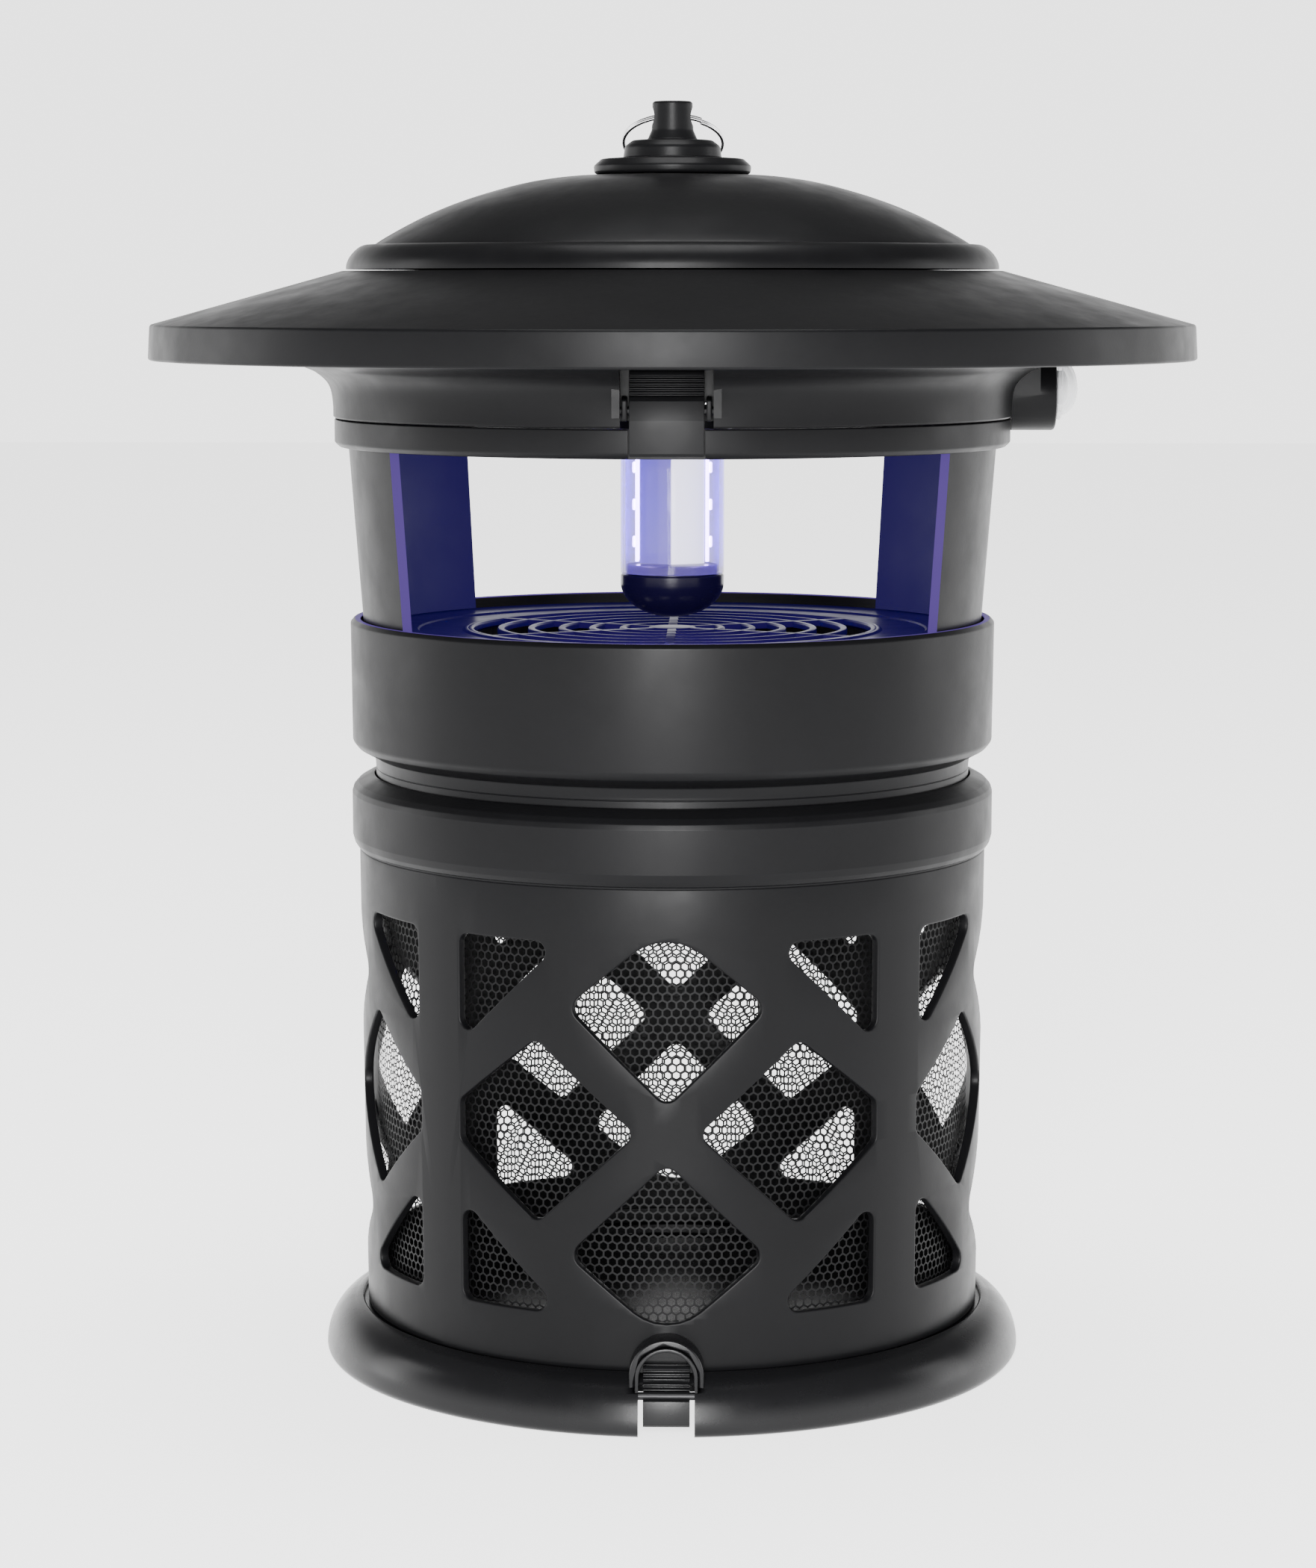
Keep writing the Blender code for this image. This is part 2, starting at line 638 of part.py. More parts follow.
def lid_housing():
    flare = [(LID_WALL_R, 261.4), (97.0, 258.6), (92.4, 256.6), (89.8, 255.0), (88.4, 253.4),
             (87.6, 251.6), (LID_R, 249.6), (LID_R, LID_BOTTOM_Z)]
    top = roof_under(LID_WALL_R) - 2.4
    profile = [(97.6, top), (LID_WALL_R, top)] + flare
    profile += [(84.4, LID_BOTTOM_Z), (84.4, LID_FLOOR_Z[0]), (15.8, LID_FLOOR_Z[0]),
                (15.8, LID_FLOOR_Z[1]), (84.8, LID_FLOOR_Z[1]), (85.0, 252.2), (86.6, 255.6),
                (90.0, 258.2), (95.2, 260.4), (97.6, 262.6)]
    lid = node("lid_housing", turned(profile), charcoal("lid_plastic"), "lid")
    pockets = [moved(block(-13.0, 13.0, -88.0, -79.6, 247.0, 261.6), azimuth=a) for a in (0, 180)]
    boss = along('X', disc(SWITCH_R, 80.0, SWITCH_END_X, 20), (0, 0, SWITCH_Z))
    fuse(lid, merge(*pockets), "lid")
    fuse(lid, boss, "lid")
    cut(lid, disc(RING_R + GAP, 230.0, LID_BOTTOM_Z - 0.02, SEG), "lid")
    recess = [moved(block(-11.1, 11.1, -97.0, -81.2, 240.0, 259.9), azimuth=a) for a in (0, 180)]
    pins = [along('X', disc(1.0 + GAP, -12.8, 12.8, 16), (0, s * CLIP_PIVOT[0], CLIP_PIVOT[1]))
            for s in (1, -1)]
    cut(lid, merge(*recess), "lid")
    cut(lid, merge(*pins), "lid")
    bore = along('X', disc(SWITCH_BORE_R, 70.0, 110.0, 16), (0, 0, SWITCH_Z + 1.4))
    gland = along('Y', disc(3.7, 50.0, 110.0, 12), (-44.0, 0, 252.4))
    screw_holes = [moved(disc(1.9, 240, 256, 8), (0, -72.0, 0), a) for a in (45, 135, 225, 315)]
    cut(lid, bore, "lid")
    cut(lid, gland, "lid")
    cut(lid, merge(*screw_holes), "lid")


def roof_canopy():
    rim_low, rim_high = ROOF_RIM_Z
    profile = [(ROOF_OPENING_R, ROOF_LAND_Z), (ROOF_LAND_R, ROOF_LAND_Z),
               (ROOF_R - 0.6, rim_high), (ROOF_R, rim_low), (ROOF_R - 2.2, rim_low),
               (ROOF_R - 2.6, rim_high - 2.0), (ROOF_LAND_R, ROOF_LAND_Z - ROOF_WALL),
               (ROOF_OPENING_R, ROOF_LAND_Z - ROOF_WALL)]
    roof = node("roof_canopy", turned(profile, 64), charcoal("roof_plastic"), "lid")
    bosses = [moved(disc(3.8, 264.0, ROOF_LAND_Z - 1.0, 8), (0, -72.0, 0), a)
              for a in (45, 135, 225, 315)]
    fuse(roof, merge(*bosses), "lid")
    pilots = [moved(disc(1.9, 260.0, 276.0, 8), (0, -72.0, 0), a) for a in (45, 135, 225, 315)]
    cut(roof, merge(*pilots), "lid")
    low = roof_under(LID_WALL_R) - 2.1
    node("roof_gasket", tube(99.6, 97.9, low, low + 1.6, SEG),
         material("gasket_rubber", (0.02, 0.02, 0.02), 0.8), "lid")


def dome_cap():
    outer = [(3.6, DOME_TOP_Z), (22.0, DOME_TOP_Z), (39.8, 303.6), (53.5, 299.6), (66.0, 294.4),
             (76.6, 288.6), (79.9, 287.6), (82.6, 285.4), (DOME_R, 282.2)]
    inner = [(80.9, 282.2), (75.6, 286.2), (65.0, 291.8), (52.6, 297.0), (39.2, 300.9), (22.0, 303.4),
             (3.6, 303.4)]
    node("dome_cap", turned(outer + inner), charcoal("dome_plastic"), "lid")


def finial():
    profile = [(0, 296.0), (3.2, 296.0), (3.2, 306.3), (20.2, 306.3), (20.2, 307.5), (18.9, 309.4),
               (16.8, 310.2), (12.1, 310.4), (11.9, 312.3), (10.7, 313.8), (8.0, 315.0),
               (5.4, 315.2), (5.2, 322.4), (4.4, 324.0), (3.0, FINIAL_TOP_Z), (0, FINIAL_TOP_Z)]
    post = node("finial", turned(list(reversed(profile)), 20), charcoal("finial_plastic"), "lid")
    cut(post, along('X', disc(RING_HOLE_R, -12, 12, 24), (0, 0, RING_HOLE_Z)), "lid")
    nut = turned([(4.0, 303.2), (4.0, 299.4), (6.4, 299.4), (6.4, 303.2)], 6)
    node("finial_nut", nut, steel("nut_steel"), "lid")


def hanger_ring():
    lean = math.radians(HANGER_LEAN)
    down = Vector((0, math.sin(lean), -math.cos(lean)))
    side = Vector((1, 0, 0))
    middle = Vector((0, 0, RING_HOLE_Z)) + down * HANGER_R
    across = side.cross(down)
    rings = []
    for i in range(28):
        a = 2 * math.pi * i / 28
        outward = side * math.sin(a) - down * math.cos(a)
        rings.append([middle + outward * (HANGER_R + HANGER_WIRE_R * math.cos(b))
                      + across * HANGER_WIRE_R * math.sin(b)
                      for b in (2 * math.pi * k / 6 for k in range(6))])
    node("hanger_ring", loft(rings, closed=True), steel("ring_steel"), "hanger_ring")


def screw(name, top_z, head_z, shank_r, head_r, place_r, azimuth):
    """A screw driven upwards, its head against the part below."""
    profile = [(0, top_z), (shank_r, top_z), (shank_r, head_z), (head_r, head_z),
               (head_r, head_z - 1.8), (0, head_z - 1.8)]
    bm = moved(turned(profile, 8), (0, -place_r, 0), azimuth)
    node(name, bm, steel("screw_steel"), "lid")


def lid_screws():
    for i in range(4):
        screw("lid_screw_%d" % (i + 1), 262.0, LID_FLOOR_Z[0] - GAP, 1.5, 2.9, 72.0, 45 + 90 * i)


# ---------------------------------------------------------------- lamp

def lamp():
    low, high = LAMP_Z
    node("lamp_sleeve", tube(LAMP_R, LAMP_R - LAMP_WALL, low, high, 24),
         material("clear_sleeve", (0.75, 0.72, 1.0), 0.05, 0.0, 0.9), "lid")
    cap = [(0, low + 2.2), (LAMP_R - LAMP_WALL - GAP, low + 2.2), (LAMP_R - LAMP_WALL - GAP, low - GAP),
           (LAMP_R, low - GAP)]
    cap += arc(0, LAMP_CAP_Z + 9.0, LAMP_R, 9.0, 90, 180, 4)
    cap[-1] = (0, LAMP_CAP_Z)
    node("lamp_end_cap", turned(cap, 24), material("cap_black", (0.02, 0.02, 0.025), 0.3), "lid")
    x, edge = CORE_HALF
    outline = [(0, -x), (x, -edge), (x, edge), (0, x), (-x, edge), (-x, -edge)]
    core = node("led_core", prism([Vector((*p, low + 2.6)) for p in outline],
                                  [Vector((*p, 241.6)) for p in outline]),
                material("core_aluminium", (0.75, 0.75, 0.77), 0.35, 1.0), "lid")
    cut(core, disc(4.0, 190, 250, 16), "lid")
    for i, azimuth in enumerate((90, 270)):
        board = block(-edge, edge, -x - GAP - 0.9, -x - GAP, low + 3.0, 241.0)
        node("led_board_%d" % (i + 1), moved(board, azimuth=azimuth),
             material("board_white", (0.8, 0.8, 0.85), 0.5), "lid")
    node("lamp_base", disc(11.8, 242.3, 245.6, 24), material("base_white", (0.8, 0.8, 0.8), 0.5), "lid")
    holder = [(13.8, 239.0), (15.3, 239.0), (15.3, 248.9), (19.0, 248.9), (19.0, 251.4), (3.0, 251.4),
              (3.0, 246.0), (13.8, 246.0)]
    node("lamp_holder", turned(holder, 24), charcoal("holder_plastic"), "lid")


# ---------------------------------------------------------------- electronics in the lid

def driver():
    board = node("driver_board", block(-34, 34, 24, 62, 252.2, 253.8),
                 material("board_green", (0.05, 0.22, 0.1), 0.5), "lid")
    spots = [(-30, 28), (30, 28), (-30, 58), (30, 58)]
    holes = [moved(disc(1.5, 250, 256, 12), (x, y, 0)) for x, y in spots]
    cut(board, merge(*holes), "lid")
    node("driver_transformer", block(-22, -2, 34, 52, 254.1, 268.0),
         material("transformer_tape", (0.65, 0.5, 0.08), 0.5), "lid")
    can = moved(disc(6.0, 254.1, 270.0, 20), (12.0, 44.0, 0))
    node("driver_capacitor", can, material("can_blue", (0.05, 0.06, 0.12), 0.3), "lid")
    node("fan_plug", block(70.5, 77.2, -5.6, 5.6, 240.6, 245.8),
         material("connector_black", (0.03, 0.03, 0.03), 0.5), "lid")


def power_entry():
    place = (-44.0, 0, 252.4)
    body_part = along('Y', tube(3.4, 2.4, 66.0, 84.0, 12), place)
    gland = node("cable_gland", body_part, material("gland_black", (0.03, 0.03, 0.03), 0.45), "lid")
    fuse(gland, along('Y', tube(4.2, 2.9, 81.8, 86.6, 12), place), "lid")


def switch():
    z = SWITCH_Z + 1.4
    body_box = block(72.0, 84.0, -5.0, 5.0, z - 4.6, z + 5.0)
    node("switch_body", body_box, material("switch_black", (0.02, 0.02, 0.02), 0.4), "lid")
    profile = [(0, 101.4), (3.2, 101.4), (BUTTON_R, 100.4), (BUTTON_R, 94.0), (2.0, 94.0), (2.0, 86.2),
               (0, 86.2)]
    button = along('X', turned(profile, 24), (0, 0, z))
    node("power_button", button, material("button_grey", (0.2, 0.2, 0.22), 0.4), "power_button")
    dome = arc(0, SWITCH_END_X + 1.4, BOOT_R, 4.4, 90, 0, 4)
    inside = arc(0, SWITCH_END_X + 1.4, BOOT_R - 0.7, 3.7, 0, 90, 4)
    flange = [(BOOT_R - 0.7, SWITCH_END_X + GAP), (8.0, SWITCH_END_X + GAP), (8.0, SWITCH_END_X + 1.2)]
    boot = along('X', turned(close_shell(dome, inside) + flange, 18), (0, 0, z))
    node("switch_boot", boot, material("clear_silicone", (0.85, 0.85, 0.88), 0.15, 0.0, 0.8), "lid")


def close_shell(outer, inner):
    """Outer and inner dome points joined at a small vent on the axis."""
    vent = 0.35
    points = [(max(r, vent), z) for r, z in outer]
    return points + [(max(r, vent), z) for r, z in inner]


# ---------------------------------------------------------------- clips

def lid_clip(name, body_name, azimuth):
    y, z = CLIP_PIVOT
    ribs = []
    for i in range(3):
        top = 257.0 - 1.9 * i
        ribs += [(-84.9 - 0.3 * i, top), (-84.3 - 0.3 * i, top - 0.95)]
    outline = [(-84.4, 258.4)] + ribs + [(-87.0, 246.4), (RING_R * -1, 238.4), (-86.4, 237.9),
                                         (-84.9, 237.9), (-84.5, 238.4), (-84.5, 244.8),
                                         (-82.6, 247.4), (-82.4, 250.0), (-82.6, 258.0)]
    half = CLIP_W / 2
    clip = node(name, moved(plate_x(outline, -half, half), azimuth=azimuth),
                charcoal("clip_plastic"), body_name)
    hole = along('X', disc(1.0 + GAP, -half - 1, half + 1, 16), (0, y, z))
    cut(clip, moved(hole, azimuth=azimuth), body_name)
    pin = along('X', disc(1.0, -12.5, 12.5, 16), (0, y, z))
    node(name + "_pin", moved(pin, azimuth=azimuth), steel("pin_steel"), "lid")


def spring(name, body_name, centre, azimuth, start_x):
    """A small torsion spring: a coil beside the pivot pin."""
    radius, wire_r, turns, sides = 1.75, 0.22, 2, 10
    rings = []
    count = turns * sides
    for i in range(count + 1):
        a = 2 * math.pi * i / sides
        x = start_x + 0.6 * i / sides
        middle = Vector((x, centre[0] + radius * math.sin(a), centre[1] + radius * math.cos(a)))
        outward = Vector((0, math.sin(a), math.cos(a)))
        rings.append([middle + outward * wire_r * math.cos(b) + Vector((1, 0, 0)) * wire_r * math.sin(b)
                      for b in (2 * math.pi * k / 4 for k in range(4))])
    bm = loft(rings, closed=False)
    bm.verts.ensure_lookup_table()
    bm.faces.new(bm.verts[:4])
    bm.faces.new(bm.verts[-4:])
    node(name, moved(bm, azimuth=azimuth), steel("spring_steel"), body_name)


# ---------------------------------------------------------------- assembly

def build():
    clear_scene()
    body("cage", (0, 0, 0))
    body("bottom_door", (0, *DOOR_HINGE))
    body("bottom_latch", (0, *LATCH_PIVOT))
    body("fan_unit", (0, 0, NECK_BOTTOM_Z))
    body("fan_rotor", (0, 0, 175.4), "fan_unit")
    body("lid", (0, 0, LID_BOTTOM_Z), "fan_unit")
    body("lid_clip_front", (0, *CLIP_PIVOT), "lid")
    body("lid_clip_rear", (0, -CLIP_PIVOT[0], CLIP_PIVOT[1]), "lid")
    body("power_button", (94.0, 0, SWITCH_Z + 1.4), "lid")
    body("hanger_ring", (0, 0, RING_HOLE_Z), "lid")
    base_ring()
    bottom_door()
    bottom_latch()
    cage_shell()
    mesh_basket()
    collar()
    grille()
    fan_duct()
    fan_motor()
    fan_rotor()
    window_frame()
    wire_channel()
    lid_housing()
    roof_canopy()
    dome_cap()
    finial()
    hanger_ring()
    lid_screws()
    lamp()
    driver()
    power_entry()
    switch()
    lid_clip("lid_clip_front", "lid_clip_front", 0)
    lid_clip("lid_clip_rear", "lid_clip_rear", 180)
    spring("clip_spring_front", "lid", CLIP_PIVOT, 0, 9.25)
    spring("clip_spring_rear", "lid", CLIP_PIVOT, 180, 9.25)


build()
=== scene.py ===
"""Looks of the outdoor insect trap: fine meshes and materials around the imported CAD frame.

Sizes are in millimetres and become metres when a mesh is made.  +Z is up, the front faces -Y,
and azimuths are in degrees from the front, growing towards +X.
"""
import json
import math

import bmesh
import bpy
import numpy as np
from mathutils import Matrix, Vector


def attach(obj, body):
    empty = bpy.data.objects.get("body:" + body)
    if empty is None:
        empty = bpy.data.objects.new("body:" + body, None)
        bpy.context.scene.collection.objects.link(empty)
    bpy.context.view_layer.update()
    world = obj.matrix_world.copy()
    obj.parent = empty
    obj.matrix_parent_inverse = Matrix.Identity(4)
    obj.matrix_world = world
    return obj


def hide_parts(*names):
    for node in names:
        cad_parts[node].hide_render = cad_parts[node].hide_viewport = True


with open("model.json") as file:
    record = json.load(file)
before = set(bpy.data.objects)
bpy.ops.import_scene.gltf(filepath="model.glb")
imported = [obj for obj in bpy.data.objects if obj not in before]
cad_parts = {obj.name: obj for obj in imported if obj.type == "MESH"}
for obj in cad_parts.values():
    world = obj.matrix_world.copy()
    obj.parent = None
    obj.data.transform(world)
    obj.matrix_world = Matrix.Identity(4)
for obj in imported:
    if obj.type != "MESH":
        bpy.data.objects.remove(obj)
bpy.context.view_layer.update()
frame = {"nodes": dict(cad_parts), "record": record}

MM = 0.001
ROUND = 160                       # sides of the large round pieces
SMALL_ROUND = 48                  # sides of the small round pieces

# heights and radii of the body
BASE_R = 91.1
BASE_LIP_Z = 14.2
CAGE_TOP_R = 81.4
CAGE_BOTTOM_R = 80.2
CAGE_WALL = 2.4
CAGE_BOTTOM_Z = 13.6
LATTICE_TOP_Z = 133.6
CAGE_LIP_R = 83.2
BASKET_R = 77.2
BASKET_TOP_Z = 136.7
NECK_R = 77.0
COLLAR_R = 83.3
COLLAR_TOP_Z = 193.0
GRILLE_Z = (188.6, 190.2)
GRILLE_RINGS = [12.8 + 7.92 * i for i in range(6)]
POST_TOP_R = 83.4
POST_BOTTOM_R = 79.8
POST_WALL = 2.6
FRONT_WINDOW = 56.0               # half angle of the front opening
REAR_WINDOW = 45.0
RING_Z = (237.1, 244.3)
RING_R = 86.9
LID_R = 87.2
LID_BOTTOM_Z = 244.6
ROOF_R = 134.0
ROOF_LAND_Z = 281.8
DOME_R = 83.6
LAMP_R = 13.4
CLIP_PIVOT = (-84.2, 248.6)       # y, z
LATCH_PIVOT = (-86.6, 9.6)
DOOR_HINGE = (80.0, 7.0)
SWITCH_Z = 252.0
RING_HOLE_Z = 320.9
LAMP_Z = (204.3, 242.0)
CORE_HALF = (8.3, 3.4)            # half width to the sides, half width of the side faces
LED_Z = (212.3, 221.9, 231.5)
PIN_BORE_R = 1.3
PIN_SIDES = 24
RIDGES = 5                        # finger ridges on the clips and the latch
SCREW_CIRCLE_R = 72.0
SCREW_AZIMUTHS = (45, 135, 225, 315)
SCREW_BORE_R = 1.9

WELD = 0.0005                     # points closer than this become one
NOISE_RANGE = (0.3, 0.7)          # where noise values lie
GRAIN_DEPTH = 0.00004             # metres

FLOOR_HALF = 6.0                  # metres
SKY_STRENGTH = 2.8
SKY_TONES = ((0.10, 1.0), (0.42, 0.07))      # place on the climb to the zenith, grey
LENS_MM = 107.39
SENSOR_MM = 36.0


# ---------------------------------------------------------------- mesh helpers

def make(name, bm, body, slot, *nodes, smooth=38.0):
    """Turns a mesh in millimetres into a piece of the trap."""
    bm.transform(Matrix.Scale(MM, 4))
    mesh = bpy.data.meshes.new(name)
    bm.to_mesh(mesh)
    bm.free()
    mesh.shade_smooth()
    mesh.set_sharp_from_angle(angle=math.radians(smooth))
    mesh.materials.append(MAT[slot])
    obj = bpy.data.objects.new(name, mesh)
    bpy.context.scene.collection.objects.link(obj)
    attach(obj, body)
    if nodes:
        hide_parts(*nodes)
    return obj


def tidy(bm):
    bmesh.ops.remove_doubles(bm, verts=bm.verts, dist=WELD)
    bmesh.ops.recalc_face_normals(bm, faces=bm.faces)
    return bm


def merge(*meshes):
    whole = bmesh.new()
    for bm in meshes:
        spare = bpy.data.meshes.new("spare")
        bm.to_mesh(spare)
        bm.free()
        whole.from_mesh(spare)
        bpy.data.meshes.remove(spare)
    return whole


def moved(bm, offset=(0, 0, 0), azimuth=0.0):
    bm.transform(Matrix.Rotation(math.radians(azimuth), 4, 'Z') @ Matrix.Translation(offset))
    return bm


def loft(rings, closed):
    bm = bmesh.new()
    layers = [[bm.verts.new(p) for p in ring] for ring in rings]
    count = len(rings[0])
    for i in range(len(layers) if closed else len(layers) - 1):
        low, high = layers[i], layers[(i + 1) % len(layers)]
        for k in range(count):
            j = (k + 1) % count
            bm.faces.new((low[k], low[j], high[j], high[k]))
    return bm


def polar(radius, azimuth, z):
    a = math.radians(azimuth)
    return Vector((radius * math.sin(a), -radius * math.cos(a), z))


def turned(profile, sides=ROUND):
    """A solid of revolution from a closed profile of (radius, z)."""
    bm = bmesh.new()
    rings = []
    for i in range(sides):
        a = 2 * math.pi * i / sides
        rings.append([bm.verts.new((r * math.sin(a), -r * math.cos(a), z)) for r, z in profile])
    count = len(profile)
    for i in range(sides):
        here, after = rings[i], rings[(i + 1) % sides]
        for k in range(count):
            j = (k + 1) % count
            if profile[k][0] < 1e-6 and profile[j][0] < 1e-6:
                continue
            bm.faces.new((here[k], after[k], after[j], here[j]))
    bmesh.ops.remove_doubles(bm, verts=bm.verts, dist=WELD)
    bmesh.ops.dissolve_degenerate(bm, edges=bm.edges, dist=WELD)
    bmesh.ops.recalc_face_normals(bm, faces=bm.faces)
    return bm


def rounded(corners, radius, steps=5):
    """An outline with its corners rounded; a corner may carry its own radius."""
    outline = []
    count = len(corners)
    for i in range(count):
        here = Vector(corners[i][:2])
        r = corners[i][2] if len(corners[i]) > 2 else radius
        if r < 1e-4:
            outline.append(tuple(here))
            continue
        to_prev = Vector(corners[i - 1][:2]) - here
        to_next = Vector(corners[(i + 1) % count][:2]) - here
        room = 0.49 * min(to_prev.length, to_next.length)
        to_prev.normalize()
        to_next.normalize()
        half = math.acos(max(-1.0, min(1.0, to_prev.dot(to_next)))) / 2
        if half > math.radians(89):
            outline.append(tuple(here))
            continue
        r = min(r, room * math.tan(half))
        middle = here + (to_prev + to_next).normalized() * (r / math.sin(half))
        first = here + to_prev * (r / math.tan(half)) - middle
        sweep = first.angle_signed(here + to_next * (r / math.tan(half)) - middle)
        for k in range(steps + 1):
            p = first.copy()
            p.rotate(Matrix.Rotation(-sweep * k / steps, 2))
            outline.append(tuple(middle + p))
    return outline


def arc(cx, cz, radius_x, radius_z, start, end, steps):
    """Points on an ellipse, with angles from +Z turning towards +X."""
    points = []
    for i in range(steps + 1):
        t = math.radians(start + (end - start) * i / steps)
        points.append((cx + radius_x * math.sin(t), cz + radius_z * math.cos(t)))
    return points


def smooth_line(points, steps=6):
    """A smooth curve through the points of a profile."""
    ends = [points[0]] + list(points) + [points[-1]]
    line = []
    for i in range(1, len(ends) - 2):
        p0, p1, p2, p3 = (Vector(p) for p in ends[i - 1:i + 3])
        for k in range(steps):
            t = k / steps
            line.append(tuple(0.5 * (2 * p1 + (p2 - p0) * t
                                     + (2 * p0 - 5 * p1 + 4 * p2 - p3) * t * t
                                     + (3 * p1 - p0 - 3 * p2 + p3) * t ** 3)))
    line.append(tuple(points[-1]))
    return line


def extruded(outline, x0, x1, bevel=0.0, segments=3):
    """An outline of (y, z) pulled along X, with its side edges rounded."""
    bm = bmesh.new()
    low = [bm.verts.new((x0, y, z)) for y, z in outline]
    high = [bm.verts.new((x1, y, z)) for y, z in outline]
    count = len(outline)
    caps = [bm.faces.new(low), bm.faces.new(list(reversed(high)))]
    for k in range(count):
        j = (k + 1) % count
        bm.faces.new((low[k], high[k], high[j], low[j]))
    bmesh.ops.recalc_face_normals(bm, faces=bm.faces)
    if bevel:
        edges = list({edge for cap in caps for edge in cap.edges})
        bmesh.ops.bevel(bm, geom=edges, offset=bevel, segments=segments, profile=0.5,
                        affect='EDGES', clamp_overlap=True)
    return bm


def block(x0, x1, y0, y1, z0, z1, bevel=0.0, segments=3):
    bm = bmesh.new()
    bmesh.ops.create_cube(bm, size=1.0)
    bm.transform(Matrix.Translation(((x0 + x1) / 2, (y0 + y1) / 2, (z0 + z1) / 2))
                 @ Matrix.Diagonal((x1 - x0, y1 - y0, z1 - z0, 1)))
    if bevel:
        bmesh.ops.bevel(bm, geom=bm.edges, offset=bevel, segments=segments, profile=0.5,
                        affect='EDGES', clamp_overlap=True)
    return bm


def rod(axis, radius, start, end, offset=(0, 0, 0), sides=SMALL_ROUND, bevel=0.0):
    """A round bar along X, Y or Z."""
    if bevel:
        profile = [(0, start), (radius - bevel, start), (radius, start + bevel),
                   (radius, end - bevel), (radius - bevel, end), (0, end)]
    else:
        profile = [(0, start), (radius, start), (radius, end), (0, end)]
    return along(axis, turned(profile, sides), offset)


AXIS_TURN = {
    'X': Matrix(((0, 0, 1, 0), (0, 1, 0, 0), (-1, 0, 0, 0), (0, 0, 0, 1))),
    'Y': Matrix(((1, 0, 0, 0), (0, 0, 1, 0), (0, -1, 0, 0), (0, 0, 0, 1))),
    'Z': Matrix.Identity(4),
}


def along(axis, bm, offset=(0, 0, 0)):
    bm.transform(Matrix.Translation(offset) @ AXIS_TURN[axis])
    return bm


def pin_bore(pivot, half_length, radius=PIN_BORE_R):
    """A bar along X through a pivot at (y, z)."""
    return rod('X', radius, -half_length, half_length, (0, *pivot), PIN_SIDES)


def at_screws(radius, low, high, sides=PIN_SIDES):
    """Upright bars on the axes of the four lid screws."""
    bars = [moved(rod('Z', radius, low, high, sides=sides), (0, -SCREW_CIRCLE_R, 0), a)
            for a in SCREW_AZIMUTHS]
    return merge(*bars)


def combined(bm, operations):
    """The mesh after a list of Boolean (operation, tool mesh) steps."""
    def temporary(mesh_bm):
        mesh = bpy.data.meshes.new("temporary")
        mesh_bm.to_mesh(mesh)
        mesh_bm.free()
        obj = bpy.data.objects.new("temporary", mesh)
        bpy.context.scene.collection.objects.link(obj)
        return obj

    base = temporary(bm)
    tools = []
    for operation, tool_bm in operations:
        tool = temporary(tool_bm)
        mod = base.modifiers.new("step", 'BOOLEAN')
        mod.operation = operation
        mod.solver = 'EXACT'
        mod.object = tool
        tools.append(tool)
    bpy.context.view_layer.update()
    shape = base.evaluated_get(bpy.context.evaluated_depsgraph_get())
    result = bmesh.new()
    result.from_mesh(shape.to_mesh())
    shape.to_mesh_clear()
    for obj in [base] + tools:
        mesh = obj.data
        bpy.data.objects.remove(obj, do_unlink=True)
        bpy.data.meshes.remove(mesh)
    bmesh.ops.remove_doubles(result, verts=result.verts, dist=0.001)
    return result


# ---------------------------------------------------------------- materials

def shader_of(name):
    mat = bpy.data.materials.new(name)
    mat.use_nodes = True
    return mat, mat.node_tree, mat.node_tree.nodes["Principled BSDF"]


def noise(tree, scale, detail=3.0, roughness=0.55, stretch=(1.0, 1.0, 1.0)):
    """Noise in the piece's own coordinates; scale is in features per metre."""
    place = tree.nodes.new("ShaderNodeTexCoord")
    mapping = tree.nodes.new("ShaderNodeMapping")
    mapping.inputs["Scale"].default_value = stretch
    texture = tree.nodes.new("ShaderNodeTexNoise")
    texture.inputs["Scale"].default_value = scale
    texture.inputs["Detail"].default_value = detail
    texture.inputs["Roughness"].default_value = roughness
    tree.links.new(place.outputs["Object"], mapping.inputs["Vector"])
    tree.links.new(mapping.outputs["Vector"], texture.inputs["Vector"])
    return texture.outputs["Fac"]


def ramp(tree, value, low, high):
    """A colour or grey that follows a value from low to high."""
    node = tree.nodes.new("ShaderNodeValToRGB")
    node.color_ramp.elements[0].position = NOISE_RANGE[0]
    node.color_ramp.elements[1].position = NOISE_RANGE[1]
    node.color_ramp.elements[0].color = (*low, 1.0)
    node.color_ramp.elements[1].color = (*high, 1.0)
    tree.links.new(value, node.inputs["Fac"])
    return node.outputs["Color"]


def between(tree, value, low, high):
    node = tree.nodes.new("ShaderNodeMapRange")
    node.inputs["From Min"].default_value = NOISE_RANGE[0]
    node.inputs["From Max"].default_value = NOISE_RANGE[1]
    node.inputs["To Min"].default_value = low
    node.inputs["To Max"].default_value = high
    tree.links.new(value, node.inputs["Value"])
    return node.outputs["Result"]


def bump(tree, shader, height, strength, distance):
    node = tree.nodes.new("ShaderNodeBump")
    node.inputs["Strength"].default_value = strength
    node.inputs["Distance"].default_value = distance
    tree.links.new(height, node.inputs["Height"])
    tree.links.new(node.outputs["Normal"], shader.inputs["Normal"])


def tinted(colour, factor):
    return tuple(min(1.0, c * factor) for c in colour)


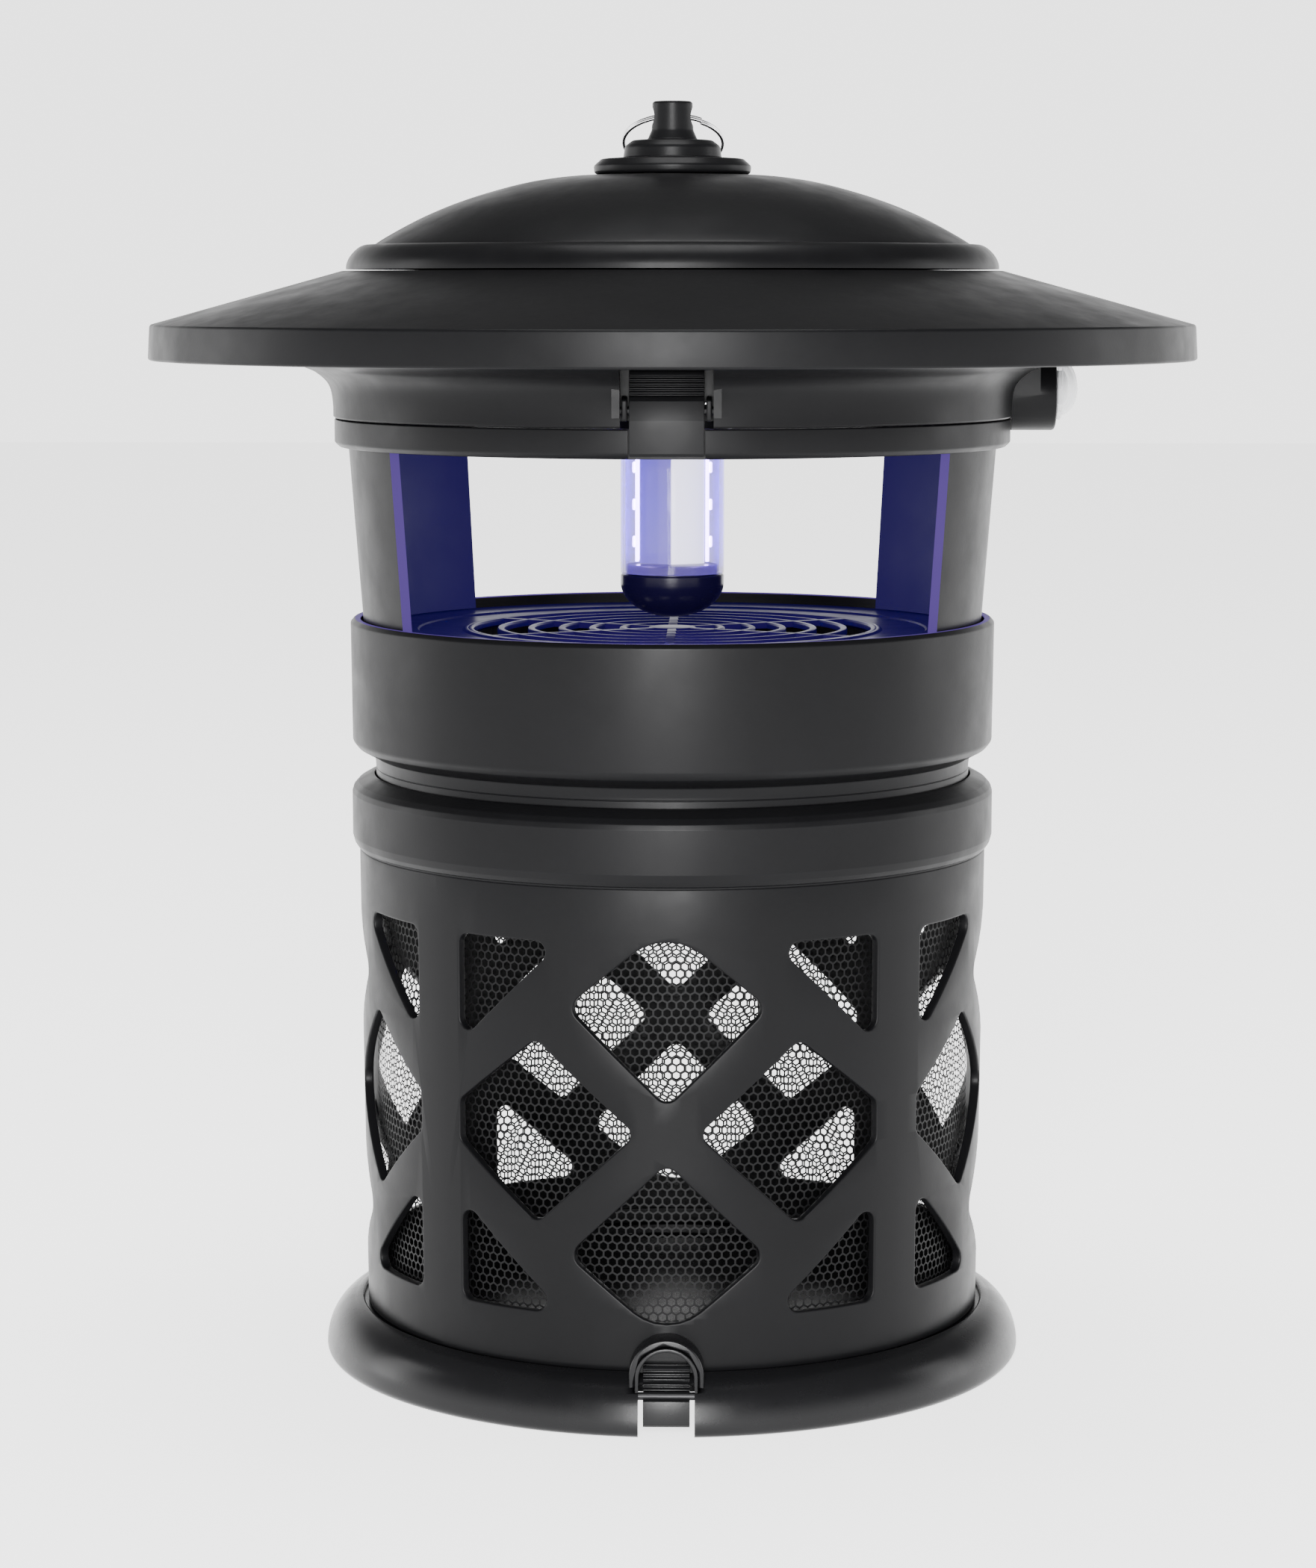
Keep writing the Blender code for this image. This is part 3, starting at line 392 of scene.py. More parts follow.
def surface(name, colour, rough, spread=0.06, vary=0.12, grain=1400.0,
            strength=0.25, metallic=0.0, stretch=(1.0, 1.0, 1.0), **values):
    """A moulded or machined surface: fine grain, faint colour drift and uneven gloss."""
    mat, tree, shader = shader_of(name)
    shader.inputs["Metallic"].default_value = metallic
    for key, value in values.items():
        shader.inputs[key.replace("_", " ")].default_value = value
    drift = noise(tree, 28.0, 4.0)
    colours = ramp(tree, drift, tinted(colour, 1.0 - vary), tinted(colour, 1.0 + vary))
    tree.links.new(colours, shader.inputs["Base Color"])
    gloss = noise(tree, 75.0, 5.0, 0.6, stretch)
    tree.links.new(between(tree, gloss, rough - spread, rough + spread), shader.inputs["Roughness"])
    bump(tree, shader, noise(tree, grain, 2.0, 0.6, stretch), strength, GRAIN_DEPTH)
    return mat


def lit(name, colour, light, strength):
    """A surface that gives light, with its brightness a little uneven."""
    mat, tree, shader = shader_of(name)
    shader.inputs["Base Color"].default_value = (*colour, 1.0)
    shader.inputs["Roughness"].default_value = 0.4
    shader.inputs["Emission Strength"].default_value = strength
    uneven = noise(tree, 900.0, 3.0)
    tree.links.new(ramp(tree, uneven, tinted(light, 0.85), light), shader.inputs["Emission Color"])
    return mat


def lamp_core_painted_light():
    """Aluminium with painted light: a violet-tinted base colour, and an emission that paints the +X half
    bright white and the -X half in the lamp's own violet.
    """
    mat, tree, shader = shader_of("core_aluminium")
    # violet base colour: painted lamp light on the aluminium
    shader.inputs["Base Color"].default_value = (0.12, 0.11, 0.3, 1.0)
    shader.inputs["Roughness"].default_value = 0.5
    shader.inputs["Specular IOR Level"].default_value = 0.1
    place = tree.nodes.new("ShaderNodeTexCoord")
    split = tree.nodes.new("ShaderNodeSeparateXYZ")
    tree.links.new(place.outputs["Object"], split.inputs["Vector"])
    tones = tree.nodes.new("ShaderNodeValToRGB")
    # painted light: dark violet glow on the -X half, bright white glow on the +X half
    core_painted_light_stops = [(0.0, (0.02, 0.014, 0.10)), (0.27, (0.022, 0.016, 0.11)), (0.30, (0.045, 0.034, 0.13)),
             (0.48, (0.055, 0.042, 0.14)), (0.50, (1.0, 1.0, 1.0)), (1.0, (1.0, 1.0, 1.0))]
    while len(tones.color_ramp.elements) < len(core_painted_light_stops):
        tones.color_ramp.elements.new(0.5)
    for element, (position, colour) in zip(tones.color_ramp.elements, core_painted_light_stops):
        element.position = position
        element.color = (*colour, 1.0)
    spread = tree.nodes.new("ShaderNodeMapRange")
    spread.inputs["From Min"].default_value = -CORE_HALF[0] * MM
    spread.inputs["From Max"].default_value = CORE_HALF[0] * MM
    tree.links.new(split.outputs["X"], spread.inputs["Value"])
    tree.links.new(spread.outputs["Result"], tones.inputs["Fac"])
    tree.links.new(tones.outputs["Color"], shader.inputs["Emission Color"])
    shader.inputs["Emission Strength"].default_value = 3.0
    bump(tree, shader, noise(tree, 700.0, 2.0, 0.5, (1.0, 1.0, 0.03)), 0.15, 0.00005)
    return mat


def clear(name, tint, thin, edge, rough=0.06):
    """Clear moulded plastic: nearly open face on, and tinted where it is seen edge on."""
    mat, tree, shader = shader_of(name)
    shader.inputs["Roughness"].default_value = rough
    drift = noise(tree, 120.0, 3.0)
    tree.links.new(ramp(tree, drift, tinted(tint, 0.92), tint), shader.inputs["Base Color"])
    facing = tree.nodes.new("ShaderNodeLayerWeight")
    facing.inputs["Blend"].default_value = 0.35
    alpha = tree.nodes.new("ShaderNodeMapRange")
    alpha.inputs["To Min"].default_value = thin
    alpha.inputs["To Max"].default_value = edge
    tree.links.new(facing.outputs["Facing"], alpha.inputs["Value"])
    tree.links.new(alpha.outputs["Result"], shader.inputs["Alpha"])
    return mat


CHARCOAL = (0.0036, 0.0036, 0.004)
MAT = {
    "charcoal_plastic": surface("charcoal_plastic", CHARCOAL, 0.36, Specular_IOR_Level=0.09),
    "base_plastic": surface("base_plastic", (0.005, 0.005, 0.0055), 0.26, spread=0.04,
                            Specular_IOR_Level=0.2),
    "mesh_steel": surface("mesh_steel", (0.003, 0.003, 0.0033), 0.5, grain=2500.0,
                          Specular_IOR_Level=0.12),
    # the grille's faint violet emission is painted lamp light
    "grille_navy": surface("grille_navy", (0.006, 0.002, 0.03), 0.33, Specular_IOR_Level=0.04,
                           Emission_Color=(0.003, 0.001, 0.038, 1.0), Emission_Strength=1.0),
    "lamp_clear": clear("lamp_clear", (0.20, 0.14, 0.62), thin=0.16, edge=0.80),
    # emission: painted lamp light on the inner walls of the window posts
    "painted_lamp_light_wall": surface("painted_lamp_light_wall", (0.004, 0.002, 0.01), 0.5, Specular_IOR_Level=0.05,
                        Emission_Color=(0.008, 0.004, 0.072, 1.0), Emission_Strength=1.0),
    # emission: painted lamp light, light purple, on the post edges and the collar's inner rim
    "painted_lamp_light_edge": surface("painted_lamp_light_edge", (0.01, 0.005, 0.02), 0.5, Specular_IOR_Level=0.05,
                        Emission_Color=(0.09, 0.055, 0.26, 1.0), Emission_Strength=1.0),
    # the end cap's faint violet emission is painted lamp light
    "cap_black": surface("cap_black", (0.002, 0.0015, 0.008), 0.22, spread=0.03,
                         Specular_IOR_Level=0.15,
                         Emission_Color=(0.002, 0.001, 0.012, 1.0), Emission_Strength=1.0),
    # the lamp core's emission is painted light, white on one side and violet on the other
    "core_aluminium": lamp_core_painted_light(),
    "board_lit": lit("board_lit", (0.8, 0.8, 0.9), (0.42, 0.26, 1.0), 45.0),
    "base_white": surface("base_white", (0.75, 0.75, 0.73), 0.35),
    "connector_black": surface("connector_black", (0.02, 0.02, 0.021), 0.45),
    "wire_black": surface("wire_black", (0.015, 0.015, 0.016), 0.5, grain=3000.0),
    "motor_metal": surface("motor_metal", (0.06, 0.06, 0.065), 0.4, metallic=0.5),
    "rotor_plastic": surface("rotor_plastic", (0.02, 0.02, 0.022), 0.38),
    "bright_steel": surface("bright_steel", (0.62, 0.62, 0.63), 0.26, metallic=1.0,
                            stretch=(1.0, 1.0, 0.1)),
    "dark_steel": surface("dark_steel", (0.012, 0.012, 0.013), 0.4, metallic=0.6,
                          stretch=(1.0, 1.0, 0.1)),
    "ring_steel": surface("ring_steel", (0.78, 0.78, 0.79), 0.14, spread=0.04, metallic=1.0),
    "gasket_rubber": surface("gasket_rubber", (0.012, 0.012, 0.012), 0.75, grain=2200.0),
    "boot_clear": clear("boot_clear", (0.86, 0.87, 0.89), thin=0.18, edge=0.75, rough=0.12),
    "button_grey": surface("button_grey", (0.55, 0.55, 0.56), 0.35),
    "board_green": surface("board_green", (0.02, 0.11, 0.05), 0.35, grain=500.0, strength=0.5),
    "transformer_tape": surface("transformer_tape", (0.60, 0.42, 0.05), 0.4, stretch=(1, 1, 12.0)),
    "can_blue": surface("can_blue", (0.03, 0.04, 0.12), 0.25),
}


def dress_cad_nodes():
    """The CAD nodes that stay in view take the material of their slot."""
    for entry in frame["record"]["subparts"]:
        obj = frame["nodes"][entry["node"]]
        for place in obj.material_slots:
            place.material = MAT[entry["material_slot"]]
        if not obj.material_slots:
            obj.data.materials.append(MAT[entry["material_slot"]])


# ---------------------------------------------------------------- canopy, dome and finial

def roof():
    rim_low, rim_high = 259.3, 268.2
    outline = [(60.0, ROOF_LAND_Z), (84.6, ROOF_LAND_Z, 0.8), (ROOF_R - 0.5, rim_high, 0.9),
               (ROOF_R, rim_low, 0.7), (ROOF_R - 2.2, rim_low, 0.7), (ROOF_R - 2.6, rim_high - 2.2),
               (84.6, ROOF_LAND_Z - 2.4, 2.0), (60.0, ROOF_LAND_Z - 2.4)]
    shell = turned(rounded(outline, 0.3))
    bosses = at_screws(3.8, 264.0, 280.0, 32)
    pilots = at_screws(SCREW_BORE_R, 260.0, 276.0)
    shell = combined(shell, [('UNION', bosses), ('DIFFERENCE', pilots)])
    make("roof_shell", shell, "lid", "charcoal_plastic", "roof_canopy")


def dome():
    crown = smooth_line([(3.6, 306.0), (22.0, 306.0), (31.8, 305.1), (39.8, 303.6), (48.2, 301.3),
                         (54.0, 299.4), (59.0, 297.5), (64.2, 295.2), (68.7, 292.9), (73.0, 290.5),
                         (75.6, 288.9), (76.5, 288.2)], 4)
    bead = smooth_line([(77.0, 288.3), (78.6, 288.4), (80.3, 287.7), (81.8, 286.4), (82.9, 284.9),
                        (83.5, 283.4), (DOME_R, 282.2)], 4)
    inside = smooth_line([(81.2, 282.2), (79.6, 284.4), (75.0, 286.4), (65.0, 291.6), (52.6, 296.8),
                          (39.2, 300.8), (22.0, 303.4), (3.6, 303.4)], 4)
    make("dome_shell", turned(crown + bead + inside), "lid", "charcoal_plastic", "dome_cap")


def finial():
    outline = [(0, 296.0, 0), (3.2, 296.0, 0.4), (3.2, 306.3, 0), (20.0, 306.3, 0.9),
               (20.2, 308.4, 1.0), (18.2, 310.2, 1.2), (12.6, 310.5, 0.4), (12.2, 313.4, 1.6),
               (10.2, 314.9, 1.2), (6.4, 315.1, 0.8), (5.35, 317.5, 2.0), (5.15, 323.2, 0.4),
               (5.15, 324.75, 1.3), (0, 324.8, 0)]
    post = turned(rounded(outline, 0.5, 6), SMALL_ROUND * 2)
    post = combined(post, [('DIFFERENCE', rod('X', 2.4, -12, 12, (0, 0, RING_HOLE_Z)))])
    make("finial_post", post, "lid", "charcoal_plastic", "finial", smooth=30)


def split_ring():
    """Two coils of round wire side by side, leaning back against the finial."""
    lean = math.radians(62.0)
    mean_r, wire_r, turns, steps = 12.8, 0.48, 2, 96
    down = Vector((0, math.sin(lean), -math.cos(lean)))
    side = Vector((1, 0, 0))
    across = side.cross(down)
    middle = Vector((0, 0, RING_HOLE_Z)) + down * mean_r
    rings = []
    for i in range(turns * steps + 1):
        a = 2 * math.pi * i / steps + 0.6
        outward = side * math.sin(a) - down * math.cos(a)
        shift = (i / (turns * steps) - 0.5) * 0.98
        centre = middle + across * shift + outward * mean_r
        rings.append([centre + outward * wire_r * math.cos(b) + across * wire_r * math.sin(b)
                      for b in (2 * math.pi * k / 12 for k in range(12))])
    bm = loft(rings, closed=False)
    bm.verts.ensure_lookup_table()
    bm.faces.new(bm.verts[:12])
    bm.faces.new(bm.verts[-12:])
    make("split_ring", tidy(bm), "hanger_ring", "ring_steel", "hanger_ring", smooth=50)


# ---------------------------------------------------------------- lid housing, clips and switch

def lid_housing():
    flare = smooth_line([(100.0, 261.6), (97.2, 258.9), (94.6, 257.5), (92.4, 256.6), (91.1, 255.8),
                         (89.6, 254.6), (88.5, 253.3), (87.8, 251.7), (87.4, 249.6), (LID_R, 247.2)], 3)
    top = 272.6
    outline = [(97.6, top), (100.0, top)] + flare
    outline += [(LID_R, LID_BOTTOM_Z + 0.4), (LID_R - 0.4, LID_BOTTOM_Z), (84.4, LID_BOTTOM_Z),
                (84.4, 246.2), (15.8, 246.2), (15.8, 248.6), (84.8, 248.6), (85.0, 252.2),
                (86.6, 255.6), (90.0, 258.2), (95.2, 260.4), (97.6, 262.6)]
    pockets = [moved(block(-13.0, 13.0, -88.0, -79.6, 247.0, 261.6), azimuth=a) for a in (0, 180)]
    boss_profile = [(0, 80.0), (9.5, 80.0), (9.5, 97.6), (9.2, 98.15), (8.6, 98.4), (0, 98.4)]
    boss = along('X', turned(boss_profile, SMALL_ROUND), (0, 0, 250.6))
    cheek = block(80.0, 94.0, -9.5, 9.5, 250.6, 261.8)
    below = rod('Z', RING_R + 0.3, 230.0, LID_BOTTOM_Z - 0.02, sides=ROUND)
    recess = [moved(block(-11.1, 11.1, -97.0, -81.2, 240.0, 259.9), azimuth=a) for a in (0, 180)]
    pins = [pin_bore((s * CLIP_PIVOT[0], CLIP_PIVOT[1]), 12.8) for s in (1, -1)]
    bore = rod('X', 7.3, 70.0, 110.0, (0, 0, SWITCH_Z))
    gland = rod('Y', 3.7, 50.0, 110.0, (-44.0, 0, 252.4), 32)
    screw_holes = at_screws(SCREW_BORE_R, 240, 256)
    shell = combined(turned(outline), [
        ('UNION', merge(*pockets)), ('UNION', cheek), ('UNION', boss), ('DIFFERENCE', below),
        ('DIFFERENCE', merge(*recess)), ('DIFFERENCE', merge(*pins)), ('DIFFERENCE', bore),
        ('DIFFERENCE', gland), ('DIFFERENCE', screw_holes)])
    make("lid_shell", shell, "lid", "charcoal_plastic", "lid_housing", smooth=30)


def clip_frame(name, azimuth):
    """The raised lips on both sides of a clip, which hold the ends of its pin."""
    lips = []
    for s in (-1, 1):
        x0, x1 = sorted((s * 9.35, s * 10.7))
        outline = rounded([(-83.6, 246.2), (-87.2, 246.2), (-87.6, 251.4), (-83.6, 252.4)], 0.7, 4)
        lips.append(extruded(outline, x0, x1, 0.35, 3))
    frame_mesh = combined(merge(*lips), [('DIFFERENCE', pin_bore(CLIP_PIVOT, 13))])
    make(name, moved(frame_mesh, azimuth=azimuth), "lid", "charcoal_plastic", smooth=30)


def clip(name, body, node, azimuth):
    front = [(-84.6, 258.35, 0.5), (-85.1, 257.7, 0.2)]
    for i in range(RIDGES):
        z = 257.0 - 1.05 * i
        front += [(-85.35 - 0.1 * i, z, 0.12), (-84.85 - 0.1 * i, z - 0.3, 0.12),
                  (-84.85 - 0.1 * i, z - 0.55, 0.12), (-85.45 - 0.1 * i, z - 0.8, 0.12)]
    outline = front + [(-86.3, 251.0, 1.0), (-87.0, 246.3, 1.2), (-86.9, 238.5, 0.4),
                       (-86.5, 237.95, 0.3), (-84.9, 237.95, 0.3), (-84.5, 238.5, 0.3),
                       (-84.5, 244.8, 1.0), (-82.6, 247.4, 1.0), (-82.4, 250.0, 1.0),
                       (-82.7, 258.0, 0.3)]
    body_mesh = extruded(rounded(outline, 0.3, 3), -8.9, 8.9, 0.3, 3)
    body_mesh = combined(body_mesh, [('DIFFERENCE', pin_bore(CLIP_PIVOT, 10))])
    make(name, moved(body_mesh, azimuth=azimuth), body, "charcoal_plastic", node, smooth=30)


def switch():
    dome_out = arc(0, 99.8, 7.0, 4.4, 90, 2, 14)
    dome_in = arc(0, 99.8, 6.3, 3.7, 2, 90, 14)
    flange = [(6.3, 98.7), (8.0, 98.7), (8.2, 99.0), (8.2, 99.6), (7.9, 99.9)]
    boot = along('X', turned(dome_out + dome_in + flange, SMALL_ROUND), (0, 0, SWITCH_Z))
    make("switch_dome", boot, "lid", "boot_clear", "switch_boot", smooth=40)
    outline = [(0, 101.3, 0), (3.0, 101.4, 1.2), (4.35, 100.8, 0.8), (4.4, 94.0, 0.3), (2.0, 94.0, 0),
               (2.0, 86.2, 0), (0, 86.2, 0)]
    button = along('X', turned(rounded(outline, 0.3, 5), SMALL_ROUND), (0, 0, SWITCH_Z))
    make("power_button_cap", button, "power_button", "button_grey", "power_button", smooth=35)


# ---------------------------------------------------------------- lamp

def lamp():
    low, high = LAMP_Z
    sleeve = turned(rounded([(LAMP_R, low), (LAMP_R, high), (LAMP_R - 1.2, high), (LAMP_R - 1.2, low)],
                            0.25, 3), 96)
    make("lamp_tube", sleeve, "lid", "lamp_clear", "lamp_sleeve", smooth=40)
    cap = [(0, low + 2.2), (9.6, low + 2.2), (10.4, low + 1.9), (11.4, low + 2.2), (11.9, low + 1.9),
           (11.9, low - 0.3), (13.1, low - 0.3), (LAMP_R, low - 0.6)]
    cap += arc(0, 201.8, LAMP_R, 9.0, 92, 179.5, 24)
    cap.append((0, 192.8))
    make("lamp_cap", turned(cap, 96), "lid", "cap_black", "lamp_end_cap", smooth=40)
    x, edge = CORE_HALF
    outline = rounded([(0, -x), (x, -edge), (x, edge), (0, x), (-x, edge), (-x, -edge)], 0.35, 3)
    bm = bmesh.new()
    layers = [[bm.verts.new((*p, z)) for p in outline] for z in (low + 2.6, 241.6)]
    bm.faces.new(layers[0])
    bm.faces.new(list(reversed(layers[1])))
    for k in range(len(outline)):
        j = (k + 1) % len(outline)
        bm.faces.new((layers[0][k], layers[1][k], layers[1][j], layers[0][j]))
    core = combined(tidy(bm), [('DIFFERENCE', rod('Z', 4.0, 190, 250, sides=32))])
    make("lamp_core_painted_light", core, "lid", "core_aluminium", "led_core", smooth=30)
    for i, azimuth in enumerate((90, 270)):
        board = block(-3.4, 3.4, -9.5, -8.6, low + 3.0, 241.0, 0.15, 2)
        leds = [block(-1.6, 1.6, -10.3, -9.45, z - 1.4, z + 1.4, 0.4, 3)
                for z in LED_Z]
        whole = moved(merge(board, *leds), azimuth=azimuth)
        make("led_strip_%d" % (i + 1), whole, "lid", "board_lit", "led_board_%d" % (i + 1), smooth=35)
    holder = [(13.9, 239.0), (15.3, 239.0), (15.3, 248.9), (19.0, 248.9), (19.0, 251.4), (3.0, 251.4),
              (3.0, 246.0), (13.9, 246.0)]
    make("lamp_socket", turned(rounded(holder, 0.3, 3), 96), "lid", "charcoal_plastic",
         "lamp_holder", smooth=35)


# ---------------------------------------------------------------- fan housing

def sector_block(r0, r1, a0, a1, z0, z1, steps=32):
    bm = bmesh.new()
    rings = []
    for i in range(steps + 1):
        a = a0 + (a1 - a0) * i / steps
        rings.append([bm.verts.new(polar(r, a, z)) for r, z in ((r0, z0), (r1, z0), (r1, z1), (r0, z1))])
    for here, after in zip(rings, rings[1:]):
        for k in range(4):
            j = (k + 1) % 4
            bm.faces.new((here[k], here[j], after[j], after[k]))
    bm.faces.new(rings[0])
    bm.faces.new(rings[-1])
    return tidy(bm)


UNLIT, WALL, EDGE = range(3)             # material places of a piece: unlit, and two kinds of painted lamp light


def paint_lamp_light(piece, bottom_z, top_z, choose):
    """Faces between two heights take a violet emission, painted lamp light, as the chooser says."""
    piece.data.materials.append(MAT["painted_lamp_light_wall"])
    piece.data.materials.append(MAT["painted_lamp_light_edge"])
    for face in piece.data.polygons:
        middle = face.center / MM
        if not bottom_z < middle.z < top_z:
            continue
        outward = Vector((middle.x, middle.y, 0)).normalized()
        aside = abs(face.normal.dot(Vector((-outward.y, outward.x, 0))))
        face.material_index = choose(middle.to_2d().length, -face.normal.dot(outward), aside)


def window_frame():
    ring = rounded([(80.7, RING_Z[1], 0.2), (RING_R, RING_Z[1], 0.35), (RING_R, 238.4, 0.8),
                    (85.6, 237.2, 0.9), (82.9, RING_Z[0], 0.2), (80.7, RING_Z[0], 0.2)], 0.2, 4)
    posts = turned([(POST_TOP_R, 238.0), (POST_BOTTOM_R, 190.5), (POST_BOTTOM_R - POST_WALL, 190.5),
                    (POST_TOP_R - POST_WALL, 238.0)])
    front = sector_block(60, 95, -FRONT_WINDOW, FRONT_WINDOW, 180, 240)
    rear = sector_block(60, 95, 180 - REAR_WINDOW, 180 + REAR_WINDOW, 180, 240)
    notches = [moved(block(-9.2, 9.2, -95, -84.2, 230, 250), azimuth=a) for a in (0, 180)]
    posts = combined(posts, [('DIFFERENCE', front), ('DIFFERENCE', rear)])
    shape = combined(turned(ring), [('DIFFERENCE', merge(*notches)), ('UNION', posts)])
    ring_piece = make("window_ring", shape, "fan_unit", "charcoal_plastic", "window_frame", smooth=30)
    # painted lamp light: inner post faces glow violet, and the side faces at the post edges glow light
    # purple
    paint_lamp_light(ring_piece, 150.0, 236.9,
         lambda radius, inward, aside: WALL if inward > 0.5 else EDGE if aside > 0.7 else UNLIT)


def collar():
    outline = [(80.7, COLLAR_TOP_Z, 0.25), (82.4, COLLAR_TOP_Z, 0.6), (COLLAR_R, 192.0, 0.8),
               (82.95, 161.6, 1.6), (81.6, 159.9, 1.6), (79.5, 158.8, 1.6), (77.3, 157.7, 0.8),
               (NECK_R, 155.2, 0.5), (NECK_R, 154.6, 0.15), (NECK_R - 0.25, 154.45, 0.1),
               (NECK_R, 154.3, 0.15), (NECK_R, 137.0, 0.5), (NECK_R - 2.4, 137.0, 0.5),
               (NECK_R - 2.4, 159.6, 1.0), (80.5, 163.4, 1.0)]
    shell = make("collar_shell", turned(rounded(outline, 0.4, 4)), "fan_unit", "charcoal_plastic",
                 "fan_collar", smooth=30)
    # painted lamp light: the inner top rim of the collar glows light purple
    paint_lamp_light(shell, 187.0, 200.0,
         lambda radius, inward, aside: EDGE if radius < 82.0 and inward > -0.4 else UNLIT)


def grille():
    """Concentric bars with rounded tops, six spokes and a solid rim with a raised step."""
    low, high = GRILLE_Z
    half = 0.9
    rings = [turned(rounded([(r - half, low), (r + half, low), (r + half, high, 0.5),
                             (r - half, high, 0.5)], 0.1, 4), 128) for r in GRILLE_RINGS]
    rim = [(GRILLE_RINGS[-1] + 0.5, low), (80.3, low), (80.3, high - 0.3, 0.2), (79.9, high, 0.3),
           (66.0, high, 0.3), (65.5, high - 0.5, 0.3), (54.4, high - 0.5, 0.3), (53.9, high, 0.3),
           (GRILLE_RINGS[-1] + 0.5, high, 0.2)]
    spokes = [moved(block(-1.2, 1.2, -52.6, -4.0, low, high - 0.05, 0.3, 2), azimuth=60 * i)
              for i in range(6)]
    hub = turned(rounded([(0, low, 0), (6.2, low, 0.2), (6.2, high, 0.5), (0, high, 0)], 0.2, 4), 64)
    cable = moved(rod('Z', 3.2, 180, 200, sides=32), (73.6, 0, 0))
    rim_mesh = combined(turned(rounded(rim, 0.1, 3)), [('DIFFERENCE', cable)])
    make("grille_bars", merge(rim_mesh, hub, *rings, *spokes), "fan_unit", "grille_navy",
         "fan_grille", smooth=35)


# ---------------------------------------------------------------- cage

ARC_MM = math.radians(1.0) * 80.6        # millimetres of wall for each degree


def lattice_openings():
    """Outlines of one 90 degree panel, as (millimetres from its middle, z)."""
    upper = [(0.0, 124.5, 13.0), (24.8, 104.0, 3.4), (0.0, 80.0, 3.0)]
    lower = [(0.0, 65.8, 3.0), (24.8, 42.2, 3.4), (0.0, 22.0, 13.0)]
    side = [(7.6, 73.0), (33.0, 95.6), (56.0, 78.0), (56.0, 68.0), (33.0, 49.6)]
    top_corner = [(25.9, 119.9), (55.6, 119.9), (55.6, 92.4)]
    low_corner = [(55.6, 53.6), (55.6, 27.4), (25.9, 27.4)]
    panels = []
    for outline in (upper, lower):
        mirrored = [(-x, z, r) for x, z, r in reversed(outline) if x]
        panels.append(outline + mirrored)
    for outline in (side, top_corner, low_corner):
        panels.append(outline)
        panels.append([(-x, z) for x, z in reversed(outline)])
    return panels


def sheet_curve(outlines, half_thickness, edge):
    """A flat sheet with openings and rounded rims, as a mesh in (x, y, thickness)."""
    curve = bpy.data.curves.new("sheet", 'CURVE')
    curve.dimensions = '2D'
    curve.fill_mode = 'BOTH'
    curve.extrude = half_thickness - edge
    curve.bevel_depth = edge
    curve.bevel_resolution = 2
    curve.offset = -edge
    for outline in outlines:
        spline = curve.splines.new('POLY')
        spline.points.add(len(outline) - 1)
        for point, (x, y) in zip(spline.points, outline):
            point.co = (x, y, 0.0, 1.0)
        spline.use_cyclic_u = True
    obj = bpy.data.objects.new("sheet", curve)
    bpy.context.scene.collection.objects.link(obj)
    shape = obj.evaluated_get(bpy.context.evaluated_depsgraph_get())
    bm = bmesh.new()
    bm.from_mesh(shape.to_mesh())
    shape.to_mesh_clear()
    bpy.data.objects.remove(obj, do_unlink=True)
    bpy.data.curves.remove(curve)
    return bm


def lattice_wall():
    """The lattice is cut in a flat sheet, which is then bent round the cage."""
    round_mm = 360.0 * ARC_MM
    spare = 6.0
    start, end = -round_mm / 8, round_mm * 7 / 8
    border = [(start - spare, CAGE_BOTTOM_Z), (end + spare, CAGE_BOTTOM_Z),
              (end + spare, LATTICE_TOP_Z), (start - spare, LATTICE_TOP_Z)]
    holes = []
    for quarter in range(4):
        for outline in lattice_openings():
            shape = rounded(outline, 2.8, 6)
            holes.append([(x + quarter * round_mm / 4, z) for x, z in shape])
    bm = sheet_curve([border] + holes, CAGE_WALL / 2, 0.45)
    bmesh.ops.remove_doubles(bm, verts=bm.verts, dist=0.001)
    for x in (start, end):
        geom = bm.verts[:] + bm.edges[:] + bm.faces[:]
        bmesh.ops.bisect_plane(bm, geom=geom, plane_co=(x, 0, 0), plane_no=(1, 0, 0),
                               clear_outer=(x == end), clear_inner=(x == start), dist=WELD)
    slices = 144
    for i in range(1, slices):
        geom = bm.verts[:] + bm.edges[:] + bm.faces[:]
        bmesh.ops.bisect_plane(bm, geom=geom, plane_co=(start + (end - start) * i / slices, 0, 0),
                               plane_no=(1, 0, 0), dist=WELD)
    for vert in bm.verts:
        x, z, depth = vert.co
        share = (z - CAGE_BOTTOM_Z) / (LATTICE_TOP_Z - CAGE_BOTTOM_Z)
        outer = CAGE_BOTTOM_R + (CAGE_TOP_R - CAGE_BOTTOM_R) * share
        vert.co = polar(outer - CAGE_WALL / 2 + depth, x / ARC_MM, z)
    bmesh.ops.remove_doubles(bm, verts=bm.verts, dist=0.003)
    bmesh.ops.recalc_face_normals(bm, faces=bm.faces)
    return bm


def cage():
    lip = [(77.4, 152.8, 0.2), (78.4, 152.5, 0.4), (80.0, 151.7, 0.8), (81.6, 150.8, 1.0),
           (82.8, 149.5, 1.0), (CAGE_LIP_R, 148.2, 0.6), (CAGE_LIP_R, 137.2, 0.8), (82.7, 135.4, 0.8),
           (81.9, 134.2, 0.3), (81.2, 133.9, 0.1), (81.2, LATTICE_TOP_Z - 0.3, 0.1), (79.2, 133.1, 0.2),
           (80.8, 138.0, 0.6), (80.8, 147.4, 0.6), (77.4, 149.8, 0.3)]
    band = turned(rounded(lip, 0.3, 4))
    make("cage_lattice", merge(lattice_wall(), band), "cage", "charcoal_plastic", "cage_shell", smooth=32)


